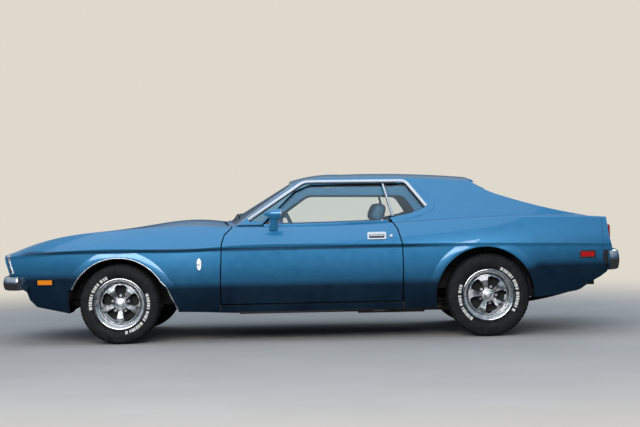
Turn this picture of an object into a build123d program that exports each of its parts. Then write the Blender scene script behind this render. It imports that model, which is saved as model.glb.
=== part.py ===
"""Two-door muscle coupe with a recessed rear window between long roof buttresses.

Millimetres. +X is forward, +Y is the car's left, +Z is up. The origin is on the road, under the middle of
the overall length and width. Each panel is its own solid, as thick as the whole door or wall.
"""

from build123d import *
from math import cos, radians, sin
import os

os.makedirs("parts", exist_ok=True)

# overall sizes
length = 4810
front_overhang = 955
wheelbase = 2769
half_width = 941
roof_height = 1259
front_track = 1562
rear_track = 1549

# wheels and tyres
rim_radius = 194
rim_width = 192
bead_radius = 178
front_tyre_radius = 302
rear_tyre_radius = 312
tyre_width = 212
spindle_radius = 30
running_fit = 0.05
steer_angle = 32

# walls and gaps
wall = 38
roof_wall = 44
panel_gap = 9
leading_gap = 13
fit_gap = 0.3
door_inner_y = 770
door_jamb_step = 24
glass_thickness = 6
glass_inset = 13
floor_thickness = 22

# places along the car, tied to the axles
front_axle_x = length / 2 - front_overhang
rear_axle_x = front_axle_x - wheelbase
door_front_x = front_axle_x - 766
door_rear_x = rear_axle_x + 645
hood_rear_x = front_axle_x - 810
hood_front_x = front_axle_x + 733
screen_base_x = front_axle_x - 797
roof_rear_x = rear_axle_x + 114
glass_foot_x = rear_axle_x - 256
lid_front_x = rear_axle_x - 300
tail_split_x = rear_axle_x - 866
nose_corner_x = front_axle_x + 872
tail_corner_x = rear_axle_x - 908
nose_bow = 65
tail_bow = 45

# heights
floor_z = 232
rear_floor_z = 440
sill_bottom_z = 222
door_bottom_z = 288
belt_z = 862
lower_z = 450
valance_z = 412
crease_step = 26
roof_seam_z = roof_height - 88
window_head_z = roof_height - 87

# wheel arches
front_arch_radius = 376
front_arch_z = 268
front_arch_x = front_axle_x + 5
rear_arch_radius = 367
rear_arch_z = 310
rear_arch_x = rear_axle_x + 26
front_wheelhouse_y = 470
rear_wheelhouse_y = 590
wheelhouse_gap = 12
wheelhouse_wall = 18

# hood and deck lid hinges
hood_hinge_x = hood_rear_x + 95
hood_hinge_z = belt_z - 6
lid_hinge_x = lid_front_x - 30
lid_hinge_z = belt_z + 31
hinge_pin_radius = 6
door_hinge_x = door_front_x - 110
door_hinge_y = 914
door_hinge_heights = (520, 640)
door_pin_radius = 3
door_barrel_radius = 6
door_barrel_height = 60
moving_gap = 5
leaf_y = door_hinge_y - 122
leaf_thickness = 12
trim_side_y = door_inner_y - 30

# half sections of the lower body
# x, side_y, crease_z, crest_y, crest_z, centre_z, lower_y, sill_y, sill_z
body_sections = [
    (front_axle_x + 970, 748, 650, 600, 650, 640, 730, 700, 300),
    (front_axle_x + 807, 800, 676, 688, 708, 706, 782, 745, 262),
    (front_axle_x + 670, 838, 688, 712, 757, 762, 822, 785, 250),
    (front_axle_x + 450, 884, 704, 735, 812, 817, 868, 835, 240),
    (front_axle_x, 926, 716, 762, 857, 865, 913, 880, 230),
    (front_axle_x - 800, 940, 720, 806, 864, 898, 928, 893, 222),
    (door_rear_x + 374, half_width, 720, 834, 862, 900, 929, 894, 222),
    (rear_axle_x + 219, 940, 708, 846, 893, 912, 928, 893, 225),
    (rear_axle_x - 481, 918, 694, 842, 906, 908, 905, 870, 240),
    (rear_axle_x - 881, 872, 682, 820, 884, 880, 855, 810, 300),
    (rear_axle_x - 1101, 832, 672, 798, 868, 862, 812, 770, 360),
]

# plan outlines of the greenhouse
# z, screen_x, pillar_x, pillar_y, side_y, rear_y
greenhouse_sections = [
    (belt_z - 22, screen_base_x + 125, door_front_x - 81, 812, 822, 768),
    (belt_z + 158, screen_base_x - 174, door_front_x - 338, 708, 720, 648),
    (roof_height + 31, screen_base_x - 622, door_front_x - 724, 518, 530, 440),
]
greenhouse_rear_x = rear_axle_x - 1000
greenhouse_mid_x = (door_front_x + rear_axle_x) / 2 - 200

# side outline of the nose and tail, at the body corner: x, z
nose_outline = [
    (nose_corner_x + 2, 900),
    (nose_corner_x, 684),
    (nose_corner_x - 6, 630),
    (nose_corner_x - 35, 535),
    (nose_corner_x - 105, 500),
    (nose_corner_x - 157, valance_z),
    (nose_corner_x - 183, 344),
    (nose_corner_x - 235, 290),
    (nose_corner_x - 395, 256),
    (nose_corner_x - 470, 240),
    (nose_corner_x - 470, 150),
]
tail_outline = [
    (tail_corner_x, 960),
    (tail_corner_x, belt_z),
    (tail_corner_x - 13, 755),
    (tail_corner_x - 41, 637),
    (tail_corner_x - 36, 540),
    (tail_corner_x + 3, 477),
    (tail_corner_x + 3, 150),
]
rear_underline = [
    (tail_corner_x - 100, 560),
    (tail_corner_x + 3, 477),
    (tail_corner_x + 64, 433),
    (tail_corner_x + 140, 394),
    (tail_corner_x + 216, 343),
    (tail_corner_x + 247, 332),
    (tail_corner_x + 405, 306),
    (tail_corner_x + 579, 290),
    (tail_corner_x + 740, 200),
    (tail_corner_x + 740, 100),
    (tail_corner_x - 100, 100),
]


def body_section(row):
    """One closed section of the lower body."""
    x, side_y, crease_z, crest_y, crest_z, centre_z, lower_y, sill_y, sill_z = row
    under_y = side_y - 9
    under_z = crease_z - crease_step
    half = [
        [(sill_y, sill_z), ((sill_y + lower_y) / 2 + 6, (sill_z + lower_z) / 2), (lower_y, lower_z)],
        [(lower_y, lower_z), ((lower_y + under_y) / 2 + 4, (lower_z + under_z) / 2), (under_y, under_z)],
        [(under_y, under_z), (side_y, crease_z)],
        [(side_y, crease_z), ((side_y + crest_y) / 2 + 8, (crease_z + crest_z) / 2 + 5),
         (crest_y, crest_z)],
    ]
    with BuildSketch(Plane.YZ.offset(x)) as outline:
        with BuildLine():
            Line((-sill_y, sill_z), (sill_y, sill_z))
            ThreePointArc((crest_y, crest_z), (0, centre_z), (-crest_y, crest_z))
            for points in half:
                mirrored = [(-y, z) for y, z in points]
                for run in (points, mirrored):
                    if len(run) == 3:
                        ThreePointArc(*run)
                    else:
                        Line(*run)
        make_face()
        crests = [v for v in outline.vertices() if abs(abs(v.X) - crest_y) < 0.01 and v.Y > under_z]
        fillet(crests, 38)
    return outline.sketch


def hollow_section(row, inset):
    """The matching section of the hollow inside, in straight runs and open below."""
    x, side_y, crease_z, crest_y, crest_z, centre_z, lower_y, sill_y, sill_z = row
    half = [
        (sill_y - inset, sill_z - 80),
        (lower_y - inset, lower_z),
        (side_y - inset, crease_z - 0.3 * inset),
        (crest_y - 0.8 * inset, crest_z - inset - 4),
    ]
    mirrored = [(-y, z) for y, z in reversed(half)]
    with BuildSketch(Plane.YZ.offset(x)) as outline:
        Polygon(*half, (0, centre_z - inset), *mirrored, align=None)
    return outline.sketch


def body_loft():
    """The lower body as one closed loft."""
    with BuildPart() as lofted:
        for row in body_sections:
            add(body_section(row))
        loft()
    return lofted.part


def hollow_loft(inset):
    """The hollow inside the lower body."""
    with BuildPart() as lofted:
        for row in body_sections[::2]:
            add(hollow_section(row, inset))
        loft(ruled=True)
    return lofted.part


def bowed_end(outline, bow, inset=0):
    """What lies ahead of a nose with the given side outline, bowed in plan: a piece of a ring."""
    edge = [(abs(x) + bow - inset, z) for x, z in outline]
    tip = max(x for x, z in edge)
    axis = Axis((tip - (790**2 + bow**2) / (2 * bow), 0, 0), (0, 0, 1))
    with BuildPart() as ring:
        with BuildSketch(Plane.XZ):
            with BuildLine():
                Polyline(*edge, (tip + 300, edge[-1][1]), (tip + 300, edge[0][1]), close=True)
            make_face()
        revolve(axis=axis, revolution_arc=40)
    return ring.part.rotate(axis, -20)


def greenhouse_section(row, inset=0):
    """One plan outline of the greenhouse: bowed windscreen, curved sides, straight back."""
    z, screen_x, pillar_x, pillar_y, side_y, rear_y = row
    screen_x -= 1.5 * inset
    pillar_x -= inset
    pillar_y -= inset
    side_y -= inset
    rear_y -= inset
    with BuildSketch(Plane.XY.offset(z)) as outline:
        with BuildLine():
            ThreePointArc((pillar_x, -pillar_y), (screen_x, 0), (pillar_x, pillar_y))
            ThreePointArc((pillar_x, pillar_y), (greenhouse_mid_x, side_y), (greenhouse_rear_x, rear_y))
            Line((greenhouse_rear_x, rear_y), (greenhouse_rear_x, -rear_y))
            ThreePointArc((greenhouse_rear_x, -rear_y), (greenhouse_mid_x, -side_y), (pillar_x, -pillar_y))
        make_face()
    return outline.sketch


roof_crown_radius = 4200
roof_front = (front_axle_x - 1282, roof_height - 46)
roof_header = (front_axle_x - 1443, roof_height - 10)
roof_top = (front_axle_x - 1684, roof_height)
roof_mid = (rear_axle_x + 442, roof_height - 13)
roof_back = (roof_rear_x - 200, roof_height - 60)


def roof_crown(drop=0):
    """A wedge of revolution below the crowned roof line."""
    axis_z = roof_height - roof_crown_radius
    line = [(x, z - drop) for x, z in (roof_front, roof_header, roof_top, roof_mid, roof_back)]
    nose = (front_axle_x, line[0][1] - 260)
    tail = (greenhouse_rear_x - 100, line[-1][1] - 60)
    with BuildPart() as crown:
        with BuildSketch(Plane.XZ):
            with BuildLine():
                Line(nose, line[0])
                ThreePointArc(line[0], line[1], line[2])
                ThreePointArc(line[2], line[3], line[4])
                Polyline(line[4], tail, (tail[0], belt_z - 200), (nose[0], belt_z - 200), nose)
            make_face()
        revolve(axis=Axis((0, 0, axis_z), (1, 0, 0)), revolution_arc=30)
    return crown.part.rotate(Axis((0, 0, axis_z), (1, 0, 0)), -15)


def greenhouse_solid(inset=0, drop=0):
    """The greenhouse under the crowned roof."""
    with BuildPart() as solid:
        for row in greenhouse_sections:
            add(greenhouse_section(row, inset))
        loft()
        add(roof_crown(drop), mode=Mode.INTERSECT)
    return solid.part


def mirror_half(points):
    """A plan outline from its half at positive Y, front to back."""
    return points + [(x, -y) for x, y in reversed(points) if y > 0]


def block(x_from, x_to, y_from, y_to, z_from, z_to):
    """A plain box between six planes."""
    with BuildPart() as box:
        with Locations(((x_from + x_to) / 2, (y_from + y_to) / 2, (z_from + z_to) / 2)):
            Box(abs(x_to - x_from), abs(y_to - y_from), abs(z_to - z_from))
    return box.part


def drum(x, z, radius, y_from, y_to):
    """A cylinder across the car."""
    with BuildPart() as disc:
        with BuildSketch(Plane.XZ.offset(-y_from)):
            with Locations((x, z)):
                Circle(radius)
        extrude(amount=-(y_to - y_from))
    return disc.part


body_outer = body_loft()
hollow = hollow_loft(wall)
inside = hollow_loft(wall + fit_gap)
with BuildPart() as body_shell:
    add(body_outer)
    add(hollow, mode=Mode.SUBTRACT)

greenhouse_outer = greenhouse_solid()
greenhouse_inner = greenhouse_solid(roof_wall, roof_wall)
glass_outer = greenhouse_solid(glass_inset, glass_inset)
glass_inner = greenhouse_solid(glass_inset + glass_thickness, glass_inset + glass_thickness)

# plan outlines of the openings in the top of the body
hood_edge = [(hood_front_x, 0), (hood_front_x - 18, 300), (hood_front_x - 72, 600), (hood_rear_x, 690)]
hood_outline = mirror_half(hood_edge + [(hood_rear_x + 46, 380), (hood_rear_x + 72, 0)])
lid_outline = mirror_half([(lid_front_x, 600), (tail_split_x + 52, 664), (tail_split_x + 22, 330)])
# the cowl ends inside the sweep of the doors' front corners
cowl_side_y = door_inner_y - 22
cowl_outline = mirror_half(
    [(hood_rear_x + 36, 0), (hood_rear_x + 19, 380), (hood_rear_x - 11, 690), (hood_rear_x - 44, 690),
     (hood_rear_x - 44, cowl_side_y), (screen_base_x - 213, cowl_side_y)]
)
deck_outline = mirror_half([(glass_foot_x - 6, 600), (lid_front_x + panel_gap + 1, 600)])
cabin_outline = mirror_half([(screen_base_x - 213, door_inner_y - 6), (glass_foot_x - 6, door_inner_y - 6)])

door_outline = [
    (door_front_x - 86, 960),
    (door_front_x - 86, belt_z - 10),
    (door_front_x - 36, belt_z - 58),
    (door_front_x - 15, 739),
    (door_front_x - 1, lower_z),
    (door_front_x - 1, door_bottom_z),
    (door_rear_x + 5, door_bottom_z),
    (door_rear_x - 3, 512),
    (door_rear_x, 710),
    (door_rear_x + 31, 821),
    (door_rear_x + 89, 905),
    (door_rear_x + 119, 960),
]
window_outline = [
    (door_front_x - 314, 800),
    (door_front_x - 314, 880),
    (door_front_x - 559, 1124),
    (door_front_x - 680, window_head_z),
    (rear_axle_x + 599, window_head_z),
    (rear_axle_x + 457, 982),
    (rear_axle_x + 569, 938),
    (door_rear_x + 85, 906),
    (door_rear_x + 85, 800),
]
door_glass_outline = [
    (door_front_x - 336, 850),
    (door_front_x - 336, 886),
    (door_front_x - 566, 1114),
    (door_front_x - 683, window_head_z - panel_gap),
    (door_rear_x + 147, window_head_z - panel_gap),
    (door_rear_x + 82, 919),
    (door_rear_x + 82, 850),
]
quarter_glass_outline = [
    (door_rear_x + 134, window_head_z - fit_gap),
    (rear_axle_x + 599, window_head_z - fit_gap),
    (rear_axle_x + 458, 983),
    (rear_axle_x + 569, 939),
    (door_rear_x + 69, 907),
]
fall_angle_run = 1.167
glass_line_top = (roof_rear_x + 68, roof_height + 21)
glass_line_foot = (glass_line_top[0] - 440 * fall_angle_run, roof_height - 419)


def outline_prism(points, plane_from, plane_to, upright=False, grow=0):
    """A prism over a side outline (or a plan outline, upright), grown all round."""
    plane = Plane.XY.offset(plane_from) if upright else Plane.XZ.offset(-plane_from)
    with BuildPart() as prism:
        with BuildSketch(plane):
            Polygon(*points, align=None)
            if grow:
                offset(amount=grow, kind=Kind.INTERSECTION)
        extrude(amount=(plane_to - plane_from) * (1 if upright else -1))
    return prism.part


hood_gap = outline_prism(hood_outline, 600, 1000, upright=True, grow=panel_gap)
lid_gap = outline_prism(lid_outline, 700, 1000, upright=True, grow=panel_gap)
door_gap = outline_prism(door_outline, 300, 1000, grow=panel_gap)
cabin_hole = outline_prism(cabin_outline, 700, 1000, upright=True)
cowl_hole = outline_prism(cowl_outline, 700, 1000, upright=True, grow=fit_gap)
deck_hole = outline_prism(deck_outline, 700, 1000, upright=True, grow=fit_gap)
front_arch_cut = drum(front_arch_x, front_arch_z, front_arch_radius, front_wheelhouse_y, 1100)
front_arch_tail = outline_prism(
    [(front_arch_x - 338, 432), (front_arch_x - 358, 432), (front_arch_x - 448, 243),
     (front_arch_x - 448, 150), (front_arch_x - 338, 150)], front_wheelhouse_y + 300, 1100
)
rear_arch_cut = drum(rear_arch_x, rear_arch_z, rear_arch_radius, rear_wheelhouse_y, 1100)
rear_under_cut = outline_prism(rear_underline, -1000, 1000)

nose_ring = bowed_end(nose_outline, nose_bow)
nose_ring_inner = bowed_end(nose_outline, nose_bow, wall)
tail_ring = mirror(bowed_end(tail_outline, tail_bow), about=Plane.YZ)
tail_ring_inner = mirror(bowed_end(tail_outline, tail_bow, wall), about=Plane.YZ)

grille_width = 1404
grille_height = 124
grille_z = 594

with BuildPart() as nose_cap:
    add(body_outer)
    add(block(hood_front_x - 50, 2600, -1000, 1000, 100, 1100), mode=Mode.INTERSECT)
    add(nose_ring, mode=Mode.SUBTRACT)
with BuildPart() as nose_core:
    add(hollow)
    add(block(hood_front_x - 90, 2600, -1000, 1000, 100, 1100), mode=Mode.INTERSECT)
    add(nose_ring_inner, mode=Mode.SUBTRACT)

with BuildPart() as nose_panel:
    add(nose_cap.part)
    add(nose_core.part, mode=Mode.SUBTRACT)
    add(block(1000, 3000, -1000, 1000, 100, valance_z + 26), mode=Mode.SUBTRACT)
    add(hood_gap, mode=Mode.SUBTRACT)
    add(hood_gap.moved(Location((leading_gap - panel_gap, 0, 0))), mode=Mode.SUBTRACT)
    with BuildSketch(Plane.YZ.offset(nose_corner_x - 120)):
        with Locations((0, grille_z)):
            RectangleRounded(grille_width, grille_height, 40)
    extrude(amount=400, mode=Mode.SUBTRACT)

with BuildPart() as valance_core:
    add(hollow)
    add(block(front_axle_x + 300, 2600, -1000, 1000, 100, valance_z + 60), mode=Mode.INTERSECT)
    add(nose_ring_inner, mode=Mode.SUBTRACT)

with BuildPart() as front_valance:
    add(body_outer)
    add(block(front_axle_x + 384, 2600, -1000, 1000, 100, valance_z), mode=Mode.INTERSECT)
    add(nose_ring, mode=Mode.SUBTRACT)
    add(valance_core.part, mode=Mode.SUBTRACT)

with BuildPart() as fender_left:
    add(body_shell.part)
    add(block(door_front_x - 90, hood_front_x - 50 - fit_gap, 0, 1000, 100, 1100), mode=Mode.INTERSECT)
    add(block(front_axle_x + 200, 3000, -1000, 1000, 100, valance_z + fit_gap), mode=Mode.SUBTRACT)
    add(hood_gap, mode=Mode.SUBTRACT)
    add(cowl_hole, mode=Mode.SUBTRACT)
    add(door_gap, mode=Mode.SUBTRACT)
    add(front_arch_cut, mode=Mode.SUBTRACT)
    add(block(door_front_x - 300, door_front_x + 8, 0, 1000, 100, 320), mode=Mode.SUBTRACT)
    add(front_arch_tail, mode=Mode.SUBTRACT)
    add(block(hood_rear_x - 60, hood_rear_x + 80, 0, 690, 700, 1100), mode=Mode.SUBTRACT)
    add(drum(hood_hinge_x, hood_hinge_z, hinge_pin_radius + running_fit, 650, 726), mode=Mode.SUBTRACT)

with BuildPart() as fender_right:
    mirror(fender_left.part, about=Plane.XZ)

with BuildPart() as hood:
    add(body_shell.part)
    add(outline_prism(hood_outline, 600, 1000, upright=True), mode=Mode.INTERSECT)
    for side in (1, -1):
        add(drum(hood_hinge_x, hood_hinge_z, hinge_pin_radius, side * 660, side * 720))

with BuildPart() as deck_lid:
    add(body_shell.part)
    add(outline_prism(lid_outline, 700, 1000, upright=True), mode=Mode.INTERSECT)
    for side in (1, -1):
        add(drum(lid_hinge_x, lid_hinge_z, hinge_pin_radius, side * 580, side * 634))

with BuildPart() as cowl:
    add(body_shell.part)
    add(outline_prism(cowl_outline, 700, 1000, upright=True), mode=Mode.INTERSECT)

with BuildPart() as deck_filler:
    add(body_shell.part)
    add(outline_prism(deck_outline, 700, 1000, upright=True), mode=Mode.INTERSECT)

# greenhouse: cabin air, the well behind the rear window, and the fall of the buttress tops
with BuildPart() as cabin_air:
    add(greenhouse_inner)
    with BuildSketch(Plane.XZ):
        Polygon(glass_line_foot, glass_line_top, (2000, glass_line_top[1]),
                (2000, glass_line_foot[1]), align=None)
    extrude(amount=1000, both=True, mode=Mode.INTERSECT)

with BuildPart() as window_well:
    with BuildSketch(Plane.XY.offset(glass_line_foot[1])):
        Polygon(*mirror_half([(glass_line_foot[0], 600), (greenhouse_rear_x - 40, 740)]), align=None)
    with BuildSketch(Plane.XY.offset(glass_line_top[1])):
        Polygon(*mirror_half([(glass_line_top[0], 490), (greenhouse_rear_x - 40, 700)]), align=None)
    loft(ruled=True)

fall_start = (roof_rear_x + 25, roof_height - 47)
fall_knee = (rear_axle_x - 135, 1058)
fall_end = (rear_axle_x - 971, 862)
with BuildPart() as fall_cut:
    with BuildSketch(Plane.XZ):
        with BuildLine():
            ThreePointArc(fall_start, (rear_axle_x + 19, 1125), fall_knee)
            ThreePointArc(fall_knee, (rear_axle_x - 511, 948), fall_end)
            Polyline(fall_end, (fall_end[0] - 200, 800), (fall_end[0] - 200, 1400),
                     (fall_start[0], 1400), fall_start)
        make_face()
    extrude(amount=1000, both=True)

window_hole = outline_prism(window_outline, -1000, 1000)

with BuildPart() as screen_hole:
    with BuildSketch(Plane.YZ.offset(front_axle_x - 1390)):
        with BuildLine():
            Line((-738, 872), (-543, 1162))
            ThreePointArc((-543, 1162), (0, 1203), (543, 1162))
            Line((543, 1162), (738, 872))
            ThreePointArc((738, 872), (0, 908), (-738, 872))
        make_face()
    extrude(amount=900)

with BuildPart() as greenhouse_shell:
    add(greenhouse_outer)
    add(cabin_air.part, mode=Mode.SUBTRACT)
    add(window_well.part, mode=Mode.SUBTRACT)
    add(window_hole, mode=Mode.SUBTRACT)

with BuildPart() as roof:
    add(greenhouse_shell.part)
    add(screen_hole.part, mode=Mode.SUBTRACT)
    for side in (1, -1):
        add(block(-3000, roof_rear_x + 10, side * 506, side * 1000, 800, 1400), mode=Mode.SUBTRACT)
    add(block(-3000, door_front_x - 690, -1000, 1000, 800, roof_seam_z), mode=Mode.SUBTRACT)
    for side in (1, -1):
        add(block(-1000, door_front_x - 60, side * (door_inner_y - 6), side * 1000, 800, 876),
            mode=Mode.SUBTRACT)
    add(body_outer, mode=Mode.SUBTRACT)

with BuildPart() as buttress_left:
    add(greenhouse_shell.part)
    add(block(-3000, door_front_x - 690, 0, 1000, 858, 1400), mode=Mode.INTERSECT)
    add(block(roof_rear_x + 10 - fit_gap, 1000, 0, 1000, roof_seam_z - fit_gap, 1400), mode=Mode.SUBTRACT)
    add(block(-3000, 1000, 0, 506 + fit_gap, roof_seam_z - 60, 1400), mode=Mode.SUBTRACT)
    add(fall_cut.part, mode=Mode.SUBTRACT)
    add(door_gap, mode=Mode.SUBTRACT)

with BuildPart() as quarter_left:
    add(body_shell.part)
    add(block(tail_split_x + fit_gap, door_rear_x + 160, 0, 1000, 100, 1100), mode=Mode.INTERSECT)
    add(cabin_hole, mode=Mode.SUBTRACT)
    add(rear_arch_cut, mode=Mode.SUBTRACT)
    add(rear_under_cut, mode=Mode.SUBTRACT)
    add(door_gap, mode=Mode.SUBTRACT)
    add(block(door_rear_x - 8, door_rear_x + 400, 0, 1000, 100, 320), mode=Mode.SUBTRACT)
    add(buttress_left.part)
    add(deck_hole, mode=Mode.SUBTRACT)
    add(lid_gap, mode=Mode.SUBTRACT)
    add(block(-3000, tail_split_x + 120, 0, 620, 700, 1100), mode=Mode.SUBTRACT)
    add(block(-3000, tail_split_x + fit_gap, 0, 1000, 700, 1100), mode=Mode.SUBTRACT)
    add(drum(lid_hinge_x, lid_hinge_z, hinge_pin_radius + running_fit, 560, 640), mode=Mode.SUBTRACT)

with BuildPart() as quarter_right:
    mirror(quarter_left.part, about=Plane.XZ)

# doors: outer skin, an inner block stepped in all round, and the mirror on its foot
mirror_x = door_front_x - 393
mirror_y = 905
mirror_z = belt_z + 94

with BuildPart() as door_core:
    add(body_outer)
    add(outline_prism(door_outline, door_inner_y, 1000, grow=-door_jamb_step), mode=Mode.INTERSECT)

with BuildPart() as door_left:
    add(body_shell.part)
    add(outline_prism(door_outline, 300, 1000), mode=Mode.INTERSECT)
    add(block(-3000, 3000, 0, door_inner_y, 100, 1100), mode=Mode.SUBTRACT)
    add(door_core.part)
    # a pocket for each hinge, open to the front and the cabin, with the pin standing in it
    for z in door_hinge_heights:
        low = z - door_barrel_height / 2 - moving_gap
        high = z + door_barrel_height / 2 + moving_gap
        pocket_y = door_hinge_y + door_barrel_radius + moving_gap
        add(block(door_hinge_x - 14, door_front_x + 20, 600, pocket_y, low, high), mode=Mode.SUBTRACT)
        with BuildSketch(Plane.XY.offset(low - 10)):
            with Locations((door_hinge_x, door_hinge_y)):
                Circle(door_pin_radius)
        extrude(amount=door_barrel_height + 30)
    with BuildSketch(Plane.XY.offset(belt_z - 30)):
        with Locations((mirror_x - 6, mirror_y - 48)):
            Ellipse(34, 16)
    with BuildSketch(Plane.XY.offset(mirror_z)):
        with Locations((mirror_x - 14, mirror_y - 6)):
            Ellipse(22, 13)
    loft()
    with BuildSketch(Plane.XY.offset(mirror_z)):
        with BuildLine():
            Polyline((mirror_x - 66, mirror_y), (mirror_x - 66, mirror_y + 36))
            ThreePointArc((mirror_x - 66, mirror_y + 36), (mirror_x + 10, mirror_y + 30),
                          (mirror_x + 70, mirror_y))
            Line((mirror_x + 70, mirror_y), (mirror_x - 66, mirror_y))
        make_face()
    revolve(axis=Axis((0, mirror_y, mirror_z), (1, 0, 0)))

with BuildPart() as door_right:
    mirror(door_left.part, about=Plane.XZ)

with BuildPart() as glass_skin:
    add(glass_outer)
    add(glass_inner, mode=Mode.SUBTRACT)

with BuildPart() as door_glass_left:
    add(glass_skin.part)
    add(outline_prism(door_glass_outline, 300, 1000), mode=Mode.INTERSECT)
    add(body_outer, mode=Mode.SUBTRACT)

with BuildPart() as door_glass_right:
    mirror(door_glass_left.part, about=Plane.XZ)

with BuildPart() as quarter_glass:
    add(glass_skin.part)
    add(outline_prism(quarter_glass_outline, 300, 1000), mode=Mode.INTERSECT)
    add(quarter_left.part, mode=Mode.SUBTRACT)
    mirror(about=Plane.XZ)

with BuildPart() as windshield:
    add(glass_skin.part)
    with BuildSketch(Plane.YZ.offset(front_axle_x - 1380)):
        with BuildLine():
            Line((-737, 873), (-542, 1161))
            ThreePointArc((-542, 1161), (0, 1202), (542, 1161))
            Line((542, 1161), (737, 873))
            ThreePointArc((737, 873), (0, 909), (-737, 873))
        make_face()
    extrude(amount=900, mode=Mode.INTERSECT)
    add(body_outer, mode=Mode.SUBTRACT)

with BuildPart() as rear_glass:
    with BuildSketch(Plane.XZ):
        Polygon(
            (glass_line_foot[0] + 1, glass_line_foot[1]), (glass_line_top[0] + 1, glass_line_top[1]),
            (glass_line_top[0] + 10, glass_line_top[1]), (glass_line_foot[0] + 10, glass_line_foot[1]),
            align=None
        )
    extrude(amount=1000, both=True)
    add(greenhouse_solid(roof_wall + fit_gap, roof_wall + fit_gap), mode=Mode.INTERSECT)
    add(body_outer, mode=Mode.SUBTRACT)

# tail: one panel across the back with the lower valance, lamp openings and a filler cap
lamp_z = 745
lamp_pitch = 130
lamp_width = 112
lamp_height = 150
first_lamp_y = 360

with BuildPart() as tail_core:
    add(hollow)
    add(block(-2600, tail_split_x + 200, -1000, 1000, 100, 1100), mode=Mode.INTERSECT)
    add(tail_ring_inner, mode=Mode.SUBTRACT)

with BuildPart() as tail_panel:
    add(body_outer)
    add(block(-2600, tail_split_x + 120 - fit_gap, -1000, 1000, 100, 1100), mode=Mode.INTERSECT)
    for side in (1, -1):
        add(block(tail_split_x, 1000, side * (620 - fit_gap), side * 1000, 100, 1100), mode=Mode.SUBTRACT)
    add(block(tail_split_x, 1000, -1000, 1000, 100, 800), mode=Mode.SUBTRACT)
    add(tail_ring, mode=Mode.SUBTRACT)
    add(rear_under_cut, mode=Mode.SUBTRACT)
    add(tail_core.part, mode=Mode.SUBTRACT)
    add(lid_gap, mode=Mode.SUBTRACT)
    with BuildSketch(Plane.YZ.offset(tail_corner_x - 200)):
        for side in (1, -1):
            for lamp in range(3):
                with Locations((side * (first_lamp_y + lamp_pitch * lamp), lamp_z)):
                    RectangleRounded(lamp_width, lamp_height, 14)
    extrude(amount=192 + 60, mode=Mode.SUBTRACT)
    with BuildSketch(Plane.YZ.offset(tail_corner_x - 68)):
        with Locations((0, lamp_z)):
            Circle(62)
    extrude(amount=40)

with BuildPart() as tail_lamps:
    for side in (1, -1):
        with BuildSketch(Plane.YZ.offset(tail_corner_x - 50)):
            for lamp in range(3):
                with Locations((side * (first_lamp_y + lamp_pitch * lamp), lamp_z)):
                    RectangleRounded(lamp_width - 2 * fit_gap, lamp_height - 2 * fit_gap, 14 - fit_gap)
        extrude(amount=110)
        add(block(tail_corner_x + 60, tail_corner_x + 46, side * 290, side * 690, 664, 826))

# bumpers: a bowed blade with wrapped ends
def bumper_blade(tip_x, corner_x, corner_y, end_x, end_y, mid_z, height, depth):
    """A blade swept along a bowed path whose ends wrap back along the sides, pointing to positive X."""
    with BuildPart() as blade:
        with BuildLine(Plane.XY.offset(mid_z)) as path:
            bow = ThreePointArc((corner_x, -corner_y), (tip_x, 0), (corner_x, corner_y))
            TangentArc(bow @ 1, (end_x, end_y), tangent=bow % 1)
            TangentArc(bow @ 0, (end_x, -end_y), tangent=-(bow % 0))
        route = path.wires()[0]
        along = route % 0
        outward = along.cross(Vector(0, 0, 1))
        if outward.Y * (route @ 0).Y < 0:
            outward = -outward
        with BuildSketch(Plane(origin=route @ 0, x_dir=outward, z_dir=along)):
            with BuildLine():
                ThreePointArc((-12, -height / 2 + 6), (0, 0), (-12, height / 2 - 6))
                Polyline((-12, height / 2 - 6), (-depth, height / 2), (-depth, -height / 2),
                         (-12, 6 - height / 2))
            make_face()
        sweep(path=route)
    return blade.part


bumper_depth = 32
front_bumper_z = 418
front_bumper_height = 106
rear_bumper_z = 482
rear_bumper_height = 148
plate_bolt_pitch = 178
plate_bolt_radius = 3.5

with BuildPart() as front_bumper:
    add(bumper_blade(length / 2, nose_corner_x + 25, 740, nose_corner_x - 107, 858,
                     front_bumper_z + front_bumper_height / 2, front_bumper_height, bumper_depth))
    with BuildSketch(Plane.YZ.offset(length / 2 - 90)):
        with GridLocations(plate_bolt_pitch, 1, 2, 1):
            with Locations((0, front_bumper_z + front_bumper_height / 2)):
                Circle(plate_bolt_radius)
    extrude(amount=100, mode=Mode.SUBTRACT)

with BuildPart() as rear_bumper:
    blade = bumper_blade(length / 2, 97 - tail_corner_x, 780, 5 - tail_corner_x, 905,
                         rear_bumper_z + rear_bumper_height / 2, rear_bumper_height, bumper_depth)
    mirror(blade, about=Plane.YZ)
    with BuildSketch(Plane.YZ.offset(-length / 2 - 10)):
        with GridLocations(plate_bolt_pitch, 1, 2, 1):
            with Locations((0, rear_bumper_z + rear_bumper_height / 2)):
                Circle(plate_bolt_radius)
    extrude(amount=100, mode=Mode.SUBTRACT)
    add(tail_panel.part, mode=Mode.SUBTRACT)

# grille and lamps
grille_x = nose_corner_x - 6
with BuildPart() as grille:
    with BuildSketch(Plane.YZ.offset(grille_x - 60)):
        with Locations((0, grille_z)):
            RectangleRounded(grille_width - 2 * fit_gap, grille_height - 2 * fit_gap, 40 - fit_gap)
    extrude(amount=14)
    with BuildSketch(Plane.YZ.offset(grille_x - 60)):
        for row in range(-3, 4):
            with Locations((0, grille_z + 15 * row)):
                Rectangle(960, 3)
    extrude(amount=26)
    with BuildSketch(Plane.YZ.offset(grille_x - 60)):
        for side in (1, -1):
            with Locations((side * 590, grille_z)):
                Circle(60)
    extrude(amount=30, mode=Mode.SUBTRACT)

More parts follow.
